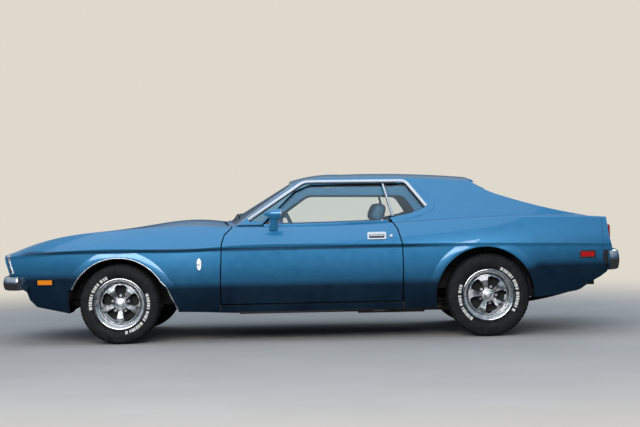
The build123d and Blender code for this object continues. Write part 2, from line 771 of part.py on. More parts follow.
lamp_radius = 60
with BuildPart() as headlamps:
    for side in (1, -1):
        with BuildSketch(Plane.YZ.offset(grille_x - 160)):
            with Locations((side * 590, grille_z)):
                Circle(lamp_radius - 12)
        with BuildSketch(Plane.YZ.offset(grille_x - 61)):
            with Locations((side * 590, grille_z)):
                Circle(lamp_radius - fit_gap)
        loft()
        with BuildSketch(Plane.YZ.offset(grille_x - 61)):
            with Locations((side * 590, grille_z)):
                Circle(lamp_radius - fit_gap)
        extrude(amount=31)

# x, y of the face, z, width, height
marker_places = [(front_axle_x + 559, 868, 476, 116, 34), (rear_axle_x - 745, 898, 604, 124, 54)]
with BuildPart() as side_markers:
    for side in (1, -1):
        for x, y, z, wide, high in marker_places:
            add(block(x - wide / 2, x + wide / 2, side * y, side * (y - 40), z - high / 2, z + high / 2))
    add(body_shell.part, mode=Mode.SUBTRACT)

# bumper brackets reach back to the body
with BuildPart() as bumper_brackets:
    for side in (1, -1):
        add(block(nose_corner_x - 90, nose_corner_x + 50, side * 430, side * 490, 446, 500))
        add(block(tail_corner_x + 60, tail_corner_x - 60, side * 430, side * 490, 520, 590))
    add(nose_panel.part, mode=Mode.SUBTRACT)
    add(tail_panel.part, mode=Mode.SUBTRACT)
    add(front_bumper.part, mode=Mode.SUBTRACT)
    add(rear_bumper.part, mode=Mode.SUBTRACT)

# underbody: floors, tunnel, firewall, rails, wheelhouses, pillars and sills in one welded piece
firewall_x = hood_rear_x - 42
kick_x = rear_axle_x + 420
tunnel_half = 125
tunnel_top = 420
jack_pad_x = (door_front_x - 180, door_rear_x + 180)
jack_pad_z = sill_bottom_z - 12
rail_y = 435
rail_top = 360

with BuildPart() as underbody:
    with BuildSketch(Plane.XY.offset(floor_z)):
        with Locations(((firewall_x + kick_x) / 2, 0)):
            Rectangle(firewall_x - kick_x, 1740)
    extrude(amount=floor_thickness)
    with BuildSketch(Plane.XZ):
        Polygon((kick_x, floor_z), (kick_x + 30, floor_z), (kick_x - 70, rear_floor_z),
                (kick_x - 70, rear_floor_z + floor_thickness), (kick_x - 90, rear_floor_z + floor_thickness),
                (kick_x - 90, rear_floor_z - 10), align=None)
    extrude(amount=585, both=True)
    with BuildSketch(Plane.XY.offset(rear_floor_z)):
        with Locations(((kick_x - 80 + tail_split_x + 20) / 2, 0)):
            Rectangle(kick_x - 80 - tail_split_x - 20, 1200)
    extrude(amount=floor_thickness)
    with BuildSketch(Plane.YZ.offset(kick_x - 90)):
        with Locations((0, floor_z)):
            Rectangle(2 * tunnel_half + 40, tunnel_top - floor_z + 20, align=(Align.CENTER, Align.MIN))
    extrude(amount=firewall_x - kick_x + 90)
    add(block(firewall_x - 20, firewall_x, -trim_side_y, trim_side_y, floor_z, 900))
    with BuildSketch(Plane.YZ.offset(kick_x - 200)):
        with Locations((0, floor_z - 20)):
            Rectangle(2 * tunnel_half, tunnel_top - floor_z + 20, align=(Align.CENTER, Align.MIN))
    extrude(amount=firewall_x - kick_x + 300, mode=Mode.SUBTRACT)
    for side in (1, -1):
        # front and rear rails, pillars and sills
        add(block(firewall_x - 300, nose_corner_x - 262, side * (rail_y - 40), side * (rail_y + 40),
                  270, rail_top))
        add(block(firewall_x - 300, firewall_x, side * (rail_y - 40), side * (rail_y + 40),
                  floor_z, rail_top))
        add(block(kick_x - 80, tail_split_x + 20, side * 500, side * 580,
                  rear_floor_z - 80, rear_floor_z + 10))
        add(block(door_front_x + 8, door_front_x + 60, side * (door_inner_y + 10), side * 880, floor_z, 800))
        add(block(door_front_x - 90, door_front_x + 60, side * (door_inner_y + 10), side * 880,
                  floor_z, floor_z + 40))
        add(block(firewall_x - 20, door_front_x + 20, side * (trim_side_y - 14), side * trim_side_y,
                  floor_z, 700))
        add(block(door_front_x + 8, door_front_x + 20, side * (trim_side_y - 14), side * 790, floor_z, 700))
        add(block(door_rear_x - 16, door_rear_x - 70, side * (door_inner_y + 10), side * 900, floor_z, 900))
        # front wheelhouse: a half drum with its inner wall
        with BuildSketch(Plane.XZ.offset(-side * front_wheelhouse_y)):
            with Locations((front_arch_x, front_arch_z)):
                Circle(front_arch_radius + wheelhouse_gap + wheelhouse_wall)
        extrude(amount=-side * 400)
        with BuildSketch(Plane.XZ.offset(-side * (front_wheelhouse_y + wheelhouse_wall))):
            with Locations((front_arch_x, front_arch_z)):
                Circle(front_arch_radius + wheelhouse_gap)
        extrude(amount=-side * 500, mode=Mode.SUBTRACT)
        with BuildSketch(Plane.XZ.offset(-side * rear_wheelhouse_y)):
            with Locations((rear_arch_x, rear_arch_z)):
                Circle(rear_arch_radius + wheelhouse_gap + wheelhouse_wall)
        extrude(amount=-side * 320)
        with BuildSketch(Plane.XZ.offset(-side * (rear_wheelhouse_y + wheelhouse_wall))):
            with Locations((rear_arch_x, rear_arch_z)):
                Circle(rear_arch_radius + wheelhouse_gap)
        extrude(amount=-side * 400, mode=Mode.SUBTRACT)
    for side in (1, -1):
        add(block(front_arch_x - 450, front_arch_x + 450, side * (front_wheelhouse_y - 30), side * 1000,
                  0, 330), mode=Mode.SUBTRACT)
        add(block(rear_arch_x - 450, rear_arch_x + 450, side * (rear_wheelhouse_y - 5), side * 1000, 0, 360),
            mode=Mode.SUBTRACT)
        add(block(front_arch_x - 100, front_arch_x + 100, side * (front_wheelhouse_y - 1),
                  side * (front_wheelhouse_y + 30), 160, 450), mode=Mode.SUBTRACT)
    add(inside, mode=Mode.INTERSECT)
    for side in (1, -1):
        add(block(door_rear_x - 8, door_front_x + 8, side * 800, side * 1000,
                  200, door_bottom_z - panel_gap))
    add(body_outer, mode=Mode.INTERSECT)
    for side in (1, -1):
        for pad_x in jack_pad_x:
            add(block(pad_x - 45, pad_x + 45, side * 820, side * 880, jack_pad_z, floor_z + 10))
        # door hinge leaves: forward along the kick panel, outward to the barrel round the pin
        for z in door_hinge_heights:
            low = z - door_barrel_height / 2
            high = z + door_barrel_height / 2
            add(block(door_hinge_x - leaf_thickness / 2, door_front_x + 12,
                      side * leaf_y, side * (leaf_y + leaf_thickness), low, high))
            add(block(door_hinge_x - leaf_thickness / 2, door_hinge_x + leaf_thickness / 2,
                      side * leaf_y, side * door_hinge_y, low, high))
            with BuildSketch(Plane.XY.offset(low)):
                with Locations((door_hinge_x, side * door_hinge_y)):
                    Circle(door_barrel_radius)
            extrude(amount=door_barrel_height)
            with BuildSketch(Plane.XY.offset(low)):
                with Locations((door_hinge_x, side * door_hinge_y)):
                    Circle(door_pin_radius + running_fit)
            extrude(amount=door_barrel_height, mode=Mode.SUBTRACT)
    add(front_valance.part, mode=Mode.SUBTRACT)

# cabin
wheel_hub = (door_front_x - 560, 370, 790)
column_lean = 24
with BuildPart() as dashboard:
    with BuildSketch(Plane.XZ):
        with BuildLine():
            Polyline((firewall_x - 20.3, 590), (firewall_x - 20.3, 770))
            ThreePointArc((firewall_x - 20.3, 770), (firewall_x - 110, 806), (firewall_x - 200, 770))
            Polyline((firewall_x - 200, 770), (firewall_x - 160, 680), (firewall_x - 120, 600),
                     (firewall_x - 20.3, 590))
        make_face()
    extrude(amount=720, both=True)
    add(block(-340, firewall_x - 120, -90, 90, tunnel_top + 20.3, 620))
    add(block(-520, -320, -90, 90, tunnel_top + 20.3, 560))

column_plane = Plane(
    origin=wheel_hub, x_dir=(0, 1, 0), z_dir=(-cos(radians(column_lean)), 0, sin(radians(column_lean)))
)
with BuildPart() as steering_wheel:
    with BuildSketch(Plane(origin=column_plane.from_local_coords((190, 0, 0)),
                           x_dir=(0, 1, 0), z_dir=column_plane.y_dir)):
        Circle(12)
    revolve(axis=Axis(wheel_hub, column_plane.z_dir))
    with BuildSketch(column_plane.offset(-30)):
        Circle(42)
    extrude(amount=26)
    for spoke in (1, -1):
        with BuildSketch(column_plane.offset(-18)):
            with Locations((spoke * 108, 0)):
                Rectangle(170, 26)
        extrude(amount=8)
with BuildPart() as column:
    with BuildSketch(column_plane.offset(-30 - fit_gap)):
        Circle(26)
    extrude(amount=-330)
    add(dashboard.part, mode=Mode.SUBTRACT)

seat_mid_y = 388
seat_width = 470
with BuildPart() as front_seats:
    for side in (1, -1):
        with BuildSketch(Plane.XZ.offset(-side * seat_mid_y)):
            with BuildLine():
                Polyline((90, 254.3), (110, 380))
                ThreePointArc((110, 380), (60, 452), (-40, 452))
                Polyline((-40, 452), (-372, 430), (-438, 859))
                ThreePointArc((-438, 859), (-505, 965), (-545, 999))
                ThreePointArc((-545, 999), (-585, 980), (-590, 930))
                Polyline((-590, 930), (-560, 760), (-505, 380), (-480, 254.3), (90, 254.3))
            make_face()
        extrude(amount=seat_width / 2, both=True)

seat_floor_z = floor_z + floor_thickness + fit_gap
seat_shelf_z = rear_floor_z + floor_thickness + fit_gap
with BuildPart() as rear_seat:
    with BuildSketch(Plane.XZ):
        with BuildLine():
            Polyline((kick_x + 160, seat_floor_z), (kick_x + 175, 400))
            ThreePointArc((kick_x + 175, 400), (kick_x + 130, 480), (kick_x + 40, 500))
            Polyline((kick_x + 40, 500), (kick_x - 200, 520), (kick_x - 310, 820), (kick_x - 400, 820),
                     (kick_x - 350, seat_shelf_z), (kick_x - 64, seat_shelf_z),
                     (kick_x + 40, seat_floor_z), (kick_x + 160, seat_floor_z))
        make_face()
    extrude(amount=560, both=True)
    add(block(kick_x - 120, kick_x + 300, -tunnel_half - 21, tunnel_half + 21, 200, tunnel_top + 21),
        mode=Mode.SUBTRACT)

# power train and running gear
with BuildPart() as engine:
    add(block(firewall_x + 60, firewall_x + 700, -180, 180, 250, 560))
    with BuildSketch(Plane.YZ.offset(firewall_x + 80)):
        Polygon((-290, 560), (-250, 700), (250, 700), (290, 560), (180, 420), (-180, 420), align=None)
    extrude(amount=580)
    with BuildSketch(Plane.XY.offset(699)):
        with Locations((firewall_x + 370, 0)):
            Circle(170)
    extrude(amount=60)
    add(block(firewall_x + 400, firewall_x + 440, -rail_y + 40.3, rail_y - 40.3, 300, 350))
    with BuildSketch(Plane.YZ.offset(firewall_x + 62)):
        with Locations((0, 330)):
            Circle(85)
    with BuildSketch(Plane.YZ.offset(firewall_x - 500)):
        with Locations((0, 330)):
            Circle(60)
    loft()
    with BuildSketch(Plane.YZ.offset(firewall_x - 480)):
        with Locations((0, 322)):
            Circle(38)
    extrude(amount=-(firewall_x - 480 - rear_axle_x - 140))
    with BuildSketch(Plane.XY.offset(330)):
        with Locations((nose_corner_x - 260, 0)):
            Rectangle(60, 2 * rail_y - 80.6)
    extrude(amount=330)

half_rear_track = rear_track / 2
with BuildPart() as rear_axle:
    with BuildSketch(Plane.XZ.offset(half_rear_track - 70)):
        with Locations((rear_axle_x, rear_tyre_radius)):
            Circle(38)
    extrude(amount=-2 * (half_rear_track - 70))
    with BuildSketch(Plane.XZ):
        with Locations((rear_axle_x, rear_tyre_radius)):
            Circle(118)
    extrude(amount=75, both=True)
    for side in (1, -1):
        with BuildSketch(Plane.XZ.offset(-side * (half_rear_track - 72))):
            with Locations((rear_axle_x, rear_tyre_radius)):
                Circle(132)
        extrude(amount=-side * 62)
        with BuildSketch(Plane.XZ.offset(-side * (half_rear_track - 12))):
            with Locations((rear_axle_x, rear_tyre_radius)):
                Circle(spindle_radius)
        extrude(amount=-side * 40)
        # leaf spring with its rear shackle
        with BuildSketch(Plane.XZ.offset(-side * 515)):
            with BuildLine():
                upper = ThreePointArc((rear_axle_x + 400, 300), (rear_axle_x, 250),
                                      (rear_axle_x - 700, 345))
                lower = ThreePointArc((rear_axle_x + 400, 275), (rear_axle_x, 222),
                                      (rear_axle_x - 700, 320))
                Line(upper @ 0, lower @ 0)
                Line(upper @ 1, lower @ 1)
            make_face()
        extrude(amount=-side * 50)
        add(block(rear_axle_x - 45, rear_axle_x + 45, side * 515, side * 565, 245, 300))
        add(block(rear_axle_x - 700, rear_axle_x - 660, side * 515, side * 565, 325, rear_floor_z - 80))
        add(block(rear_axle_x + 360, rear_axle_x + 400, side * 515, side * 565, 280, rear_floor_z - 80))
    add(underbody.part, mode=Mode.SUBTRACT)

kingpin_y = front_track / 2 - 100
kingpin_radius = 13
with BuildPart() as front_suspension:
    add(block(front_axle_x - 60, front_axle_x + 60, -rail_y - 39, rail_y + 39, 205, 268))
    for side in (1, -1):
        for mid_z, high in ((205, 26), (400, 20)):
            with BuildSketch(Plane.XY.offset(mid_z - high / 2)):
                Polygon((front_axle_x + 110, side * (rail_y - 10)), (front_axle_x + 22, side * kingpin_y),
                        (front_axle_x - 22, side * kingpin_y), (front_axle_x - 110, side * (rail_y - 10)),
                        align=None)
                with Locations((front_axle_x, side * kingpin_y)):
                    Circle(22)
                with Locations((front_axle_x, side * (rail_y + 90))):
                    Circle(36, mode=Mode.SUBTRACT)
                with Locations((front_axle_x, side * kingpin_y)):
                    Circle(kingpin_radius + fit_gap, mode=Mode.SUBTRACT)
            extrude(amount=high)
        add(block(front_axle_x - 90, front_axle_x + 90, side * (rail_y - 20), side * (rail_y + 20), 361, 410))
    add(underbody.part, mode=Mode.SUBTRACT)

with BuildPart() as knuckle_left:
    with BuildSketch(Plane.XY.offset(180)):
        with Locations((front_axle_x, kingpin_y)):
            Circle(kingpin_radius)
    extrude(amount=240)
    with BuildSketch(Plane.XY.offset(220)):
        with Locations((front_axle_x, kingpin_y + 12)):
            Rectangle(64, 40)
    extrude(amount=168)
    with BuildSketch(Plane.XZ.offset(-(front_track / 2 - 72))):
        with Locations((front_axle_x, front_tyre_radius)):
            Circle(132)
    extrude(amount=-62)
    with BuildSketch(Plane.XZ.offset(-(front_track / 2 - 12))):
        with Locations((front_axle_x, front_tyre_radius)):
            Circle(spindle_radius)
    extrude(amount=-40)

with BuildPart() as knuckle_right:
    mirror(knuckle_left.part, about=Plane.XZ)

with BuildPart() as exhaust:
    for side in (1, -1):
        with BuildSketch(Plane.YZ.offset(firewall_x - 40)):
            with Locations((side * 300, 198)):
                Circle(27)
        extrude(amount=-(firewall_x - 40 - rear_axle_x + 240))
        with BuildSketch(Plane.YZ.offset(-350)):
            with Locations((side * 300, 196)):
                RectangleRounded(170, 66, 30)
        extrude(amount=-520)
        for hanger_x in (200, -1000):
            add(block(hanger_x - 12, hanger_x + 12, side * 300 - 20, side * 300 + 20, 200, floor_z - fit_gap))

with BuildPart() as fuel_tank:
    with BuildSketch(Plane.XY.offset(rear_floor_z - 120)):
        with Locations((rear_axle_x - 560, 0)):
            RectangleRounded(480, 760, 60)
    extrude(amount=120 - fit_gap)

# wheels
spoke_count = 5
nut_circle_radius = 62
lip_y = rim_width / 2
# half outline of one window between two spokes: radius, half width
window_petal = [(47, 19), (100, 43), (127, 46), (141, 24)]

with BuildPart() as rim:
    with BuildSketch(Plane.XY):
        with BuildLine():
            Polyline(
                (163, -lip_y), (rim_radius, -lip_y), (rim_radius, 8 - lip_y), (bead_radius, 12 - lip_y),
                (bead_radius, -60), (160, -40), (160, 30), (bead_radius, 50), (bead_radius, lip_y - 12),
                (rim_radius, lip_y - 8), (rim_radius, lip_y), (rim_radius - 12, lip_y), (168, lip_y - 14),
                (168, 50), (150, 30), (150, -40), (163, -60), (163, -lip_y),
            )
        make_face()
    revolve(axis=Axis.Y)
    with BuildSketch(Plane.XY):
        with BuildLine():
            Polyline((0, 10), (66, 10), (90, 20), (155, 26), (155, 40), (110, 44), (58, 38), (42, 54),
                     (0, 58), (0, 10))
        make_face()
    revolve(axis=Axis.Y)
    with BuildSketch(Plane.XZ.offset(-200)) as windows:
        with PolarLocations(0, spoke_count, start_angle=90):
            Polygon(*window_petal, *[(r, -w) for r, w in reversed(window_petal)], align=None)
        fillet(windows.vertices(), 8)
    extrude(amount=300, mode=Mode.SUBTRACT)
    # mounting pad behind the windows with the wheel nuts
    with BuildSketch(Plane.XZ.offset(-10)):
        Circle(nut_circle_radius + 16)
    extrude(amount=-12)
    with BuildSketch(Plane.XZ.offset(-20)):
        with PolarLocations(nut_circle_radius, spoke_count, start_angle=90):
            RegularPolygon(11, 6)
    extrude(amount=-18)
    with BuildSketch(Plane.XZ.offset(-8)):
        Circle(spindle_radius + running_fit)
    extrude(amount=-21, mode=Mode.SUBTRACT)

def tyre_at(radius):
    """A hollow tyre about the Y axis, its outer wall from bead to tread and its hollow from bead to crown."""
    half = tyre_width / 2
    bead = bead_radius + fit_gap
    outer = [(bead, half - 23), (bead + 18, half - 23), (bead + 46, half - 5), (radius - 54, half),
             (radius - 24, half - 9), (radius - 7, half - 19), (radius, half - 36)]
    inner = [(bead, half - 38), (radius - 60, half - 14), (radius - 18, half - 36)]
    with BuildPart() as ring:
        with BuildSketch(Plane.XY):
            with BuildLine():
                Polyline(*outer, *[(r, -y) for r, y in reversed(outer)], *[(r, -y) for r, y in inner],
                         *reversed(inner), outer[0])
            make_face()
        revolve(axis=Axis.Y)
    return ring.part


def placed(part_made, x, y, z, turn=0):
    """A copy of a wheel piece at an axle end, its outer face away from the car."""
    if y < 0:
        part_made = part_made.mirror(Plane.XZ)
    return part_made.rotate(Axis.Y, turn).moved(Location((x, y, z)))


front_tyre = tyre_at(front_tyre_radius)
rear_tyre = tyre_at(rear_tyre_radius)
# how far the parked wheels are turned, in degrees about their axles
front_wheel_turn = -2
rear_wheel_turn = -23
wheel_places = {
    "front_left": (front_tyre, front_axle_x, front_track / 2, front_tyre_radius, front_wheel_turn),
    "front_right": (front_tyre, front_axle_x, -front_track / 2, front_tyre_radius, front_wheel_turn),
    "rear_left": (rear_tyre, rear_axle_x, rear_track / 2, rear_tyre_radius, rear_wheel_turn),
    "rear_right": (rear_tyre, rear_axle_x, -rear_track / 2, rear_tyre_radius, rear_wheel_turn),
}

pieces = {
    "underbody": underbody, "fender_left": fender_left, "fender_right": fender_right,
    "quarter_left": quarter_left, "quarter_right": quarter_right, "roof": roof, "cowl": cowl,
    "deck_filler": deck_filler, "nose_panel": nose_panel, "grille": grille, "headlamps": headlamps,
    "front_bumper": front_bumper, "front_valance": front_valance, "tail_panel": tail_panel,
    "tail_lamps": tail_lamps, "rear_bumper": rear_bumper, "bumper_brackets": bumper_brackets,
    "side_markers": side_markers, "windshield": windshield, "rear_glass": rear_glass,
    "quarter_glass": quarter_glass, "dashboard": dashboard, "steering_column": column,
    "steering_wheel": steering_wheel, "front_seats": front_seats, "rear_seat": rear_seat,
    "engine": engine, "rear_axle": rear_axle, "front_suspension": front_suspension, "exhaust": exhaust,
    "fuel_tank": fuel_tank, "hood": hood, "deck_lid": deck_lid, "door_left": door_left,
    "door_right": door_right, "door_glass_left": door_glass_left, "door_glass_right": door_glass_right,
    "knuckle_left": knuckle_left, "knuckle_right": knuckle_right,
}
for place, (tyre, x, y, z, turn) in wheel_places.items():
    with BuildPart() as wheel_rim:
        add(placed(rim.part, x, y, z, turn))
    with BuildPart() as wheel_tyre:
        add(placed(tyre, x, y, z))
    pieces["rim_" + place] = wheel_rim
    pieces["tyre_" + place] = wheel_tyre

for label, piece in pieces.items():
    piece.part.label = label
    export_step(piece.part, "parts/" + label + ".step")
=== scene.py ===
import math

import bmesh
import bpy
from mathutils import Matrix, Vector
from mathutils.bvhtree import BVHTree


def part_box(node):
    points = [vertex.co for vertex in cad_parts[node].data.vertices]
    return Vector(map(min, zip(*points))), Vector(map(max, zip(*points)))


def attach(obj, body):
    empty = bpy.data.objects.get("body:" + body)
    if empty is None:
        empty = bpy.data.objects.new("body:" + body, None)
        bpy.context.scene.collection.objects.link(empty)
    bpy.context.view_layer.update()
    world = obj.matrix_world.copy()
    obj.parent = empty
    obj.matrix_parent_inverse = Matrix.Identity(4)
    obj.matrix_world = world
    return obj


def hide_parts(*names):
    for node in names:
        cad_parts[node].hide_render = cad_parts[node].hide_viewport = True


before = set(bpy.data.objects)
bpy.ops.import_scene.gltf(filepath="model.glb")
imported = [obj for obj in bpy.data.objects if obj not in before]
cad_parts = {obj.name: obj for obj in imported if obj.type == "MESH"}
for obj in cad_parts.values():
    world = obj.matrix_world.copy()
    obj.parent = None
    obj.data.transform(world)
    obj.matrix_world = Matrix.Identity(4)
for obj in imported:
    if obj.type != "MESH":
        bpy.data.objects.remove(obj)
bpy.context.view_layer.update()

bl_info = {
    "name": "Two-door coupe",
    "version": (1, 0, 0),
    "blender": (4, 5, 0),
    "location": "View3D > Sidebar > Coupe",
    "description": "Dresses the packed coupe with its paint, chrome, glass, tyres and cabin",
    "category": "Add Mesh",
}

# the left side is towards +Y
SIDES = ((1, "left"), (-1, "right"))

# places read from the frame, in metres
WHEELS = ("front_left", "front_right", "rear_left", "rear_right")
AXLES = {}
for place in WHEELS:
    low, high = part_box("tyre_" + place)
    AXLES[place] = ((low + high) / 2, (high.z - low.z) / 2)
front_axle_x = AXLES["front_left"][0].x
rear_axle_x = AXLES["rear_left"][0].x
door_front_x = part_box("door_left")[1].x
door_rear_x = front_axle_x - 2.124
tail_split_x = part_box("quarter_left")[0].x

# where rays that look for the bodywork start: beside, before, behind and over the car
BESIDE, AHEAD, BEHIND, ABOVE = 1.2, 2.7, -2.7, 1.4
SEAT_Y = 0.388
LAMP_Z = 0.745
BACKDROP = (0.74, 0.69, 0.61)


def color_property(name, description, default):
    return bpy.props.FloatVectorProperty(name=name, description=description, default=default,
                                         subtype="COLOR", size=3, min=0, max=1)


def length_property(name, description, default, **limits):
    return bpy.props.FloatProperty(name=name, description=description, default=default, unit="LENGTH",
                                   **limits)


class CoupePaint(bpy.types.PropertyGroup):
    """Finishes a user would change."""

    body: color_property("Body colour", "Colour of the metallic paint", (0.030, 0.215, 0.430))
    # painted shade and painted reflection: the dark colour the paint is blended to at the sills, standing for
    # shade and the dark ground mirrored there
    body_shaded_low: color_property("Low body colour", "Colour that the paint deepens to at the sills",
                             (0.0006, 0.0075, 0.022))
    cabin: color_property("Cabin colour", "Colour of the trim and seats", (0.024, 0.125, 0.205))
    tint: color_property("Glass tint", "Colour of light that the windows pass", (0.945, 0.975, 0.98))
    amber: color_property("Amber", "Colour of the front marker lenses", (0.95, 0.27, 0.01))
    red: color_property("Red", "Colour of the rear lenses", (0.55, 0.01, 0.012))


class CoupeSizes(bpy.types.PropertyGroup):
    """Sizes of the trim a user would change."""

    frame_width: length_property("Window frame width", "Width of the bright strip over the side windows",
                                 0.028, min=0.01, max=0.04)
    arch_trim: length_property("Arch trim width", "Width of the bright strip round the front arches",
                               0.010, min=0.004, max=0.02)
    tread_depth: length_property("Tread depth", "Depth of the grooves round the tyres",
                                 0.007, min=0.002, max=0.012)
    mark_height: length_property("Tyre mark height", "Height of the raised white marks on the tyres",
                                 0.024, min=0.01, max=0.04)


class CoupeStage(bpy.types.PropertyGroup):
    """The camera."""

    camera_x: length_property("Camera X", "Camera place along the car", -0.0675)
    camera_y: length_property("Camera Y", "Camera distance from the middle plane", 11.885)
    camera_z: length_property("Camera Z", "Camera height", 0.95)
    camera_roll: bpy.props.FloatProperty(
        name="Camera roll", description="Turn of the picture", default=math.radians(1.254), subtype="ANGLE")
    lens: bpy.props.FloatProperty(
        name="Lens", description="Focal length in millimetres", default=82.6, min=10, max=300)


def settings(name):
    return getattr(bpy.context.scene, name)


# meshes: a part is a pair of vertices and faces


def make_piece(name, part, chosen, body="body", sharp=35.0):
    """A mesh piece in the row frame, shaded smooth up to an angle in degrees, riding on a body."""
    vertices, faces = part
    mesh = bpy.data.meshes.new(name)
    mesh.from_pydata([tuple(v) for v in vertices], [], faces)
    work = bmesh.new()
    work.from_mesh(mesh)
    bmesh.ops.remove_doubles(work, verts=work.verts, dist=1e-6)
    bmesh.ops.recalc_face_normals(work, faces=work.faces)
    work.to_mesh(mesh)
    work.free()
    mesh.shade_smooth()
    mesh.set_sharp_from_angle(angle=math.radians(sharp))
    mesh.materials.append(finishes[chosen])
    piece = bpy.data.objects.new(name, mesh)
    bpy.context.scene.collection.objects.link(piece)
    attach(piece, body)
    return piece


def joined(parts):
    """Several parts as one."""
    vertices, faces = [], []
    for part_vertices, part_faces in parts:
        start = len(vertices)
        vertices.extend(part_vertices)
        faces.extend([tuple(i + start for i in face) for face in part_faces])
    return vertices, faces


def moved(part, matrix):
    vertices, faces = part
    return [matrix @ Vector(v) for v in vertices], faces


def ring_faces(rings, size, close_rings=False, close_size=True):
    """Quads between neighbouring rings of vertices, each ring with as many."""
    faces = []
    for i in range(rings if close_rings else rings - 1):
        a, b = i * size, (i + 1) % rings * size
        for j in range(size if close_size else size - 1):
            k = (j + 1) % size
            faces.append((a + j, a + k, b + k, b + j))
    return faces


def lathe(profile, segments, closed=False):
    """Turns (radius, height along Y) points about the Y axis."""
    vertices = []
    for step in range(segments):
        angle = 2 * math.pi * step / segments
        for radius, y in profile:
            vertices.append(Vector((radius * math.cos(angle), y, radius * math.sin(angle))))
    return vertices, ring_faces(segments, len(profile), True, closed)


def sweep(points, normals, section, closed=False):
    """Sweeps a closed section of (across, out) points along a path, its out side along the normals."""
    vertices = []
    count, size = len(points), len(section)
    for i, point in enumerate(points):
        before = points[i - 1] if closed or i > 0 else point
        after = points[(i + 1) % count] if closed or i < count - 1 else point
        along_in = (point - before).normalized() if (point - before).length > 1e-9 else None
        along_out = (after - point).normalized() if (after - point).length > 1e-9 else None
        along_in = along_in or along_out
        along_out = along_out or along_in
        along = (along_in + along_out).normalized()
        stretch = 1 / max(0.5, along.dot(along_out))
        out = (normals[i] - normals[i].dot(along) * along).normalized()
        across = along.cross(out)
        for u, h in section:
            vertices.append(point + across * u * stretch + out * h)
    faces = ring_faces(count, size, closed)
    if not closed:
        faces += [tuple(range(size)), tuple(range((count - 1) * size, count * size))[::-1]]
    return vertices, faces


def half_round(width, height, sink=0.004, steps=6):
    """Section of a bright strip: a low arch with its foot sunk into what carries it."""
    section = [(-width / 2, -sink)]
    for i in range(steps + 1):
        angle = math.pi - math.pi * i / steps
        rise = math.sin(angle) ** 0.6 if 0 < i < steps else 0.0
        section.append((width / 2 * math.cos(angle), height * rise))
    return section + [(width / 2, -sink)]


def flat_bar(half_width, foot, top):
    """Section of a flat strip from one height over its path to another."""
    return [(-half_width, foot), (-half_width, top), (half_width, top), (half_width, foot)]


def slab(outline, thickness, edge=0.0015):
    """A flat plate over a closed (u, v) outline in its own X-Z plane, out along Y, with softened edges."""
    centre = Vector((sum(p[0] for p in outline), 0, sum(p[1] for p in outline))) / len(outline)
    vertices = []
    size = len(outline)
    for y, inset in ((0.0, 0.0), (thickness - edge, 0.0), (thickness, edge)):
        for u, v in outline:
            pull = Vector((centre.x - u, 0, centre.z - v))
            vertices.append(Vector((u, y, v)) + pull.normalized() * inset)
    faces = ring_faces(3, size) + [tuple(range(size)), tuple(range(2 * size, 3 * size))]
    return vertices, faces


def rounded_rectangle(width, height, radius, steps=5):
    points = []
    for cx, cz, start in ((1, 1, 0), (-1, 1, 90), (-1, -1, 180), (1, -1, 270)):
        for i in range(steps + 1):
            angle = math.radians(start + 90 * i / steps)
            points.append((cx * (width / 2 - radius) + radius * math.cos(angle),
                           cz * (height / 2 - radius) + radius * math.sin(angle)))
    return points


def ellipse(width, height, steps=32):
    return [(width / 2 * math.cos(2 * math.pi * i / steps), height / 2 * math.sin(2 * math.pi * i / steps))
            for i in range(steps)]


def frame_of(outline, hole, thickness, soft=0.0012):
    """A plate with a hole: outline and hole have as many points."""
    rings = ((outline, 0.0), (outline, thickness - soft), (outline, thickness),
             (hole, thickness), (hole, thickness - soft), (hole, 0.0))
    vertices = [Vector((u, y, v)) for points, y in rings for u, v in points]
    return vertices, ring_faces(len(rings), len(outline))


surface_trees = {}


def tree_of(*nodes):
    """A search tree over some CAD nodes."""
    if nodes not in surface_trees:
        vertices, polygons = [], []
        for node in nodes:
            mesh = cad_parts[node].data
            start = len(vertices)
            vertices.extend([v.co.copy() for v in mesh.vertices])
            polygons.extend([tuple(i + start for i in p.vertices) for p in mesh.polygons])
        surface_trees[nodes] = BVHTree.FromPolygons(vertices, polygons)
    return surface_trees[nodes]


def hit(nodes, origin, direction):
    """Where a ray first meets some CAD nodes, with the outward normal."""
    for nudge in (0.0, 0.002, -0.002):
        start = Vector(origin) + Vector((nudge, 0, nudge))
        place, normal, _, _ = tree_of(*nodes).ray_cast(start, Vector(direction))
        if place is not None:
            break
    if place is None:
        raise RuntimeError("no CAD surface of %s at %s" % (nodes, tuple(origin)))
    if normal.dot(Vector(direction)) > 0:
        normal = -normal
    return place, normal


def on_side(nodes, x, z, side):
    """Where a ray from beside the car meets some CAD nodes."""
    return hit(nodes, (x, side * BESIDE, z), (0, -side, 0))


def bare_cast(nodes, x, z, side):
    """The same place, or none where the nodes have no surface there."""
    return tree_of(*nodes).ray_cast(Vector((x, side * BESIDE, z)), Vector((0, -side, 0)))[0]


def cast_path(nodes, path, direction, step=0.02):
    """Points and normals where rays in one direction, begun along a path of 3-D corners, meet CAD nodes."""
    points, normals = [], []
    corners = [Vector(corner) for corner in path]
    for first, second in zip(corners, corners[1:]):
        runs = max(1, round((second - first).length / step))
        for i in range(runs):
            place, normal = hit(nodes, first.lerp(second, i / runs), direction)
            points.append(place)
            normals.append(normal)
    place, normal = hit(nodes, corners[-1], direction)
    return points + [place], normals + [normal]


def side_strip(nodes, path, side, section, step=0.02):
    """A strip laid on a side of the car along a path of (x, z) corners."""
    path = [(x, side * BESIDE, z) for x, z in path]
    return sweep(*cast_path(nodes, path, (0, -side, 0), step), section)


def closed_strip(nodes, path, direction, section, step=0.02):
    """A strip round a closed path of 3-D corners, laid where rays from it meet CAD nodes."""
    points, normals = cast_path(nodes, list(path) + [path[0]], direction, step)
    return sweep(points[:-1], normals[:-1], section, closed=True)


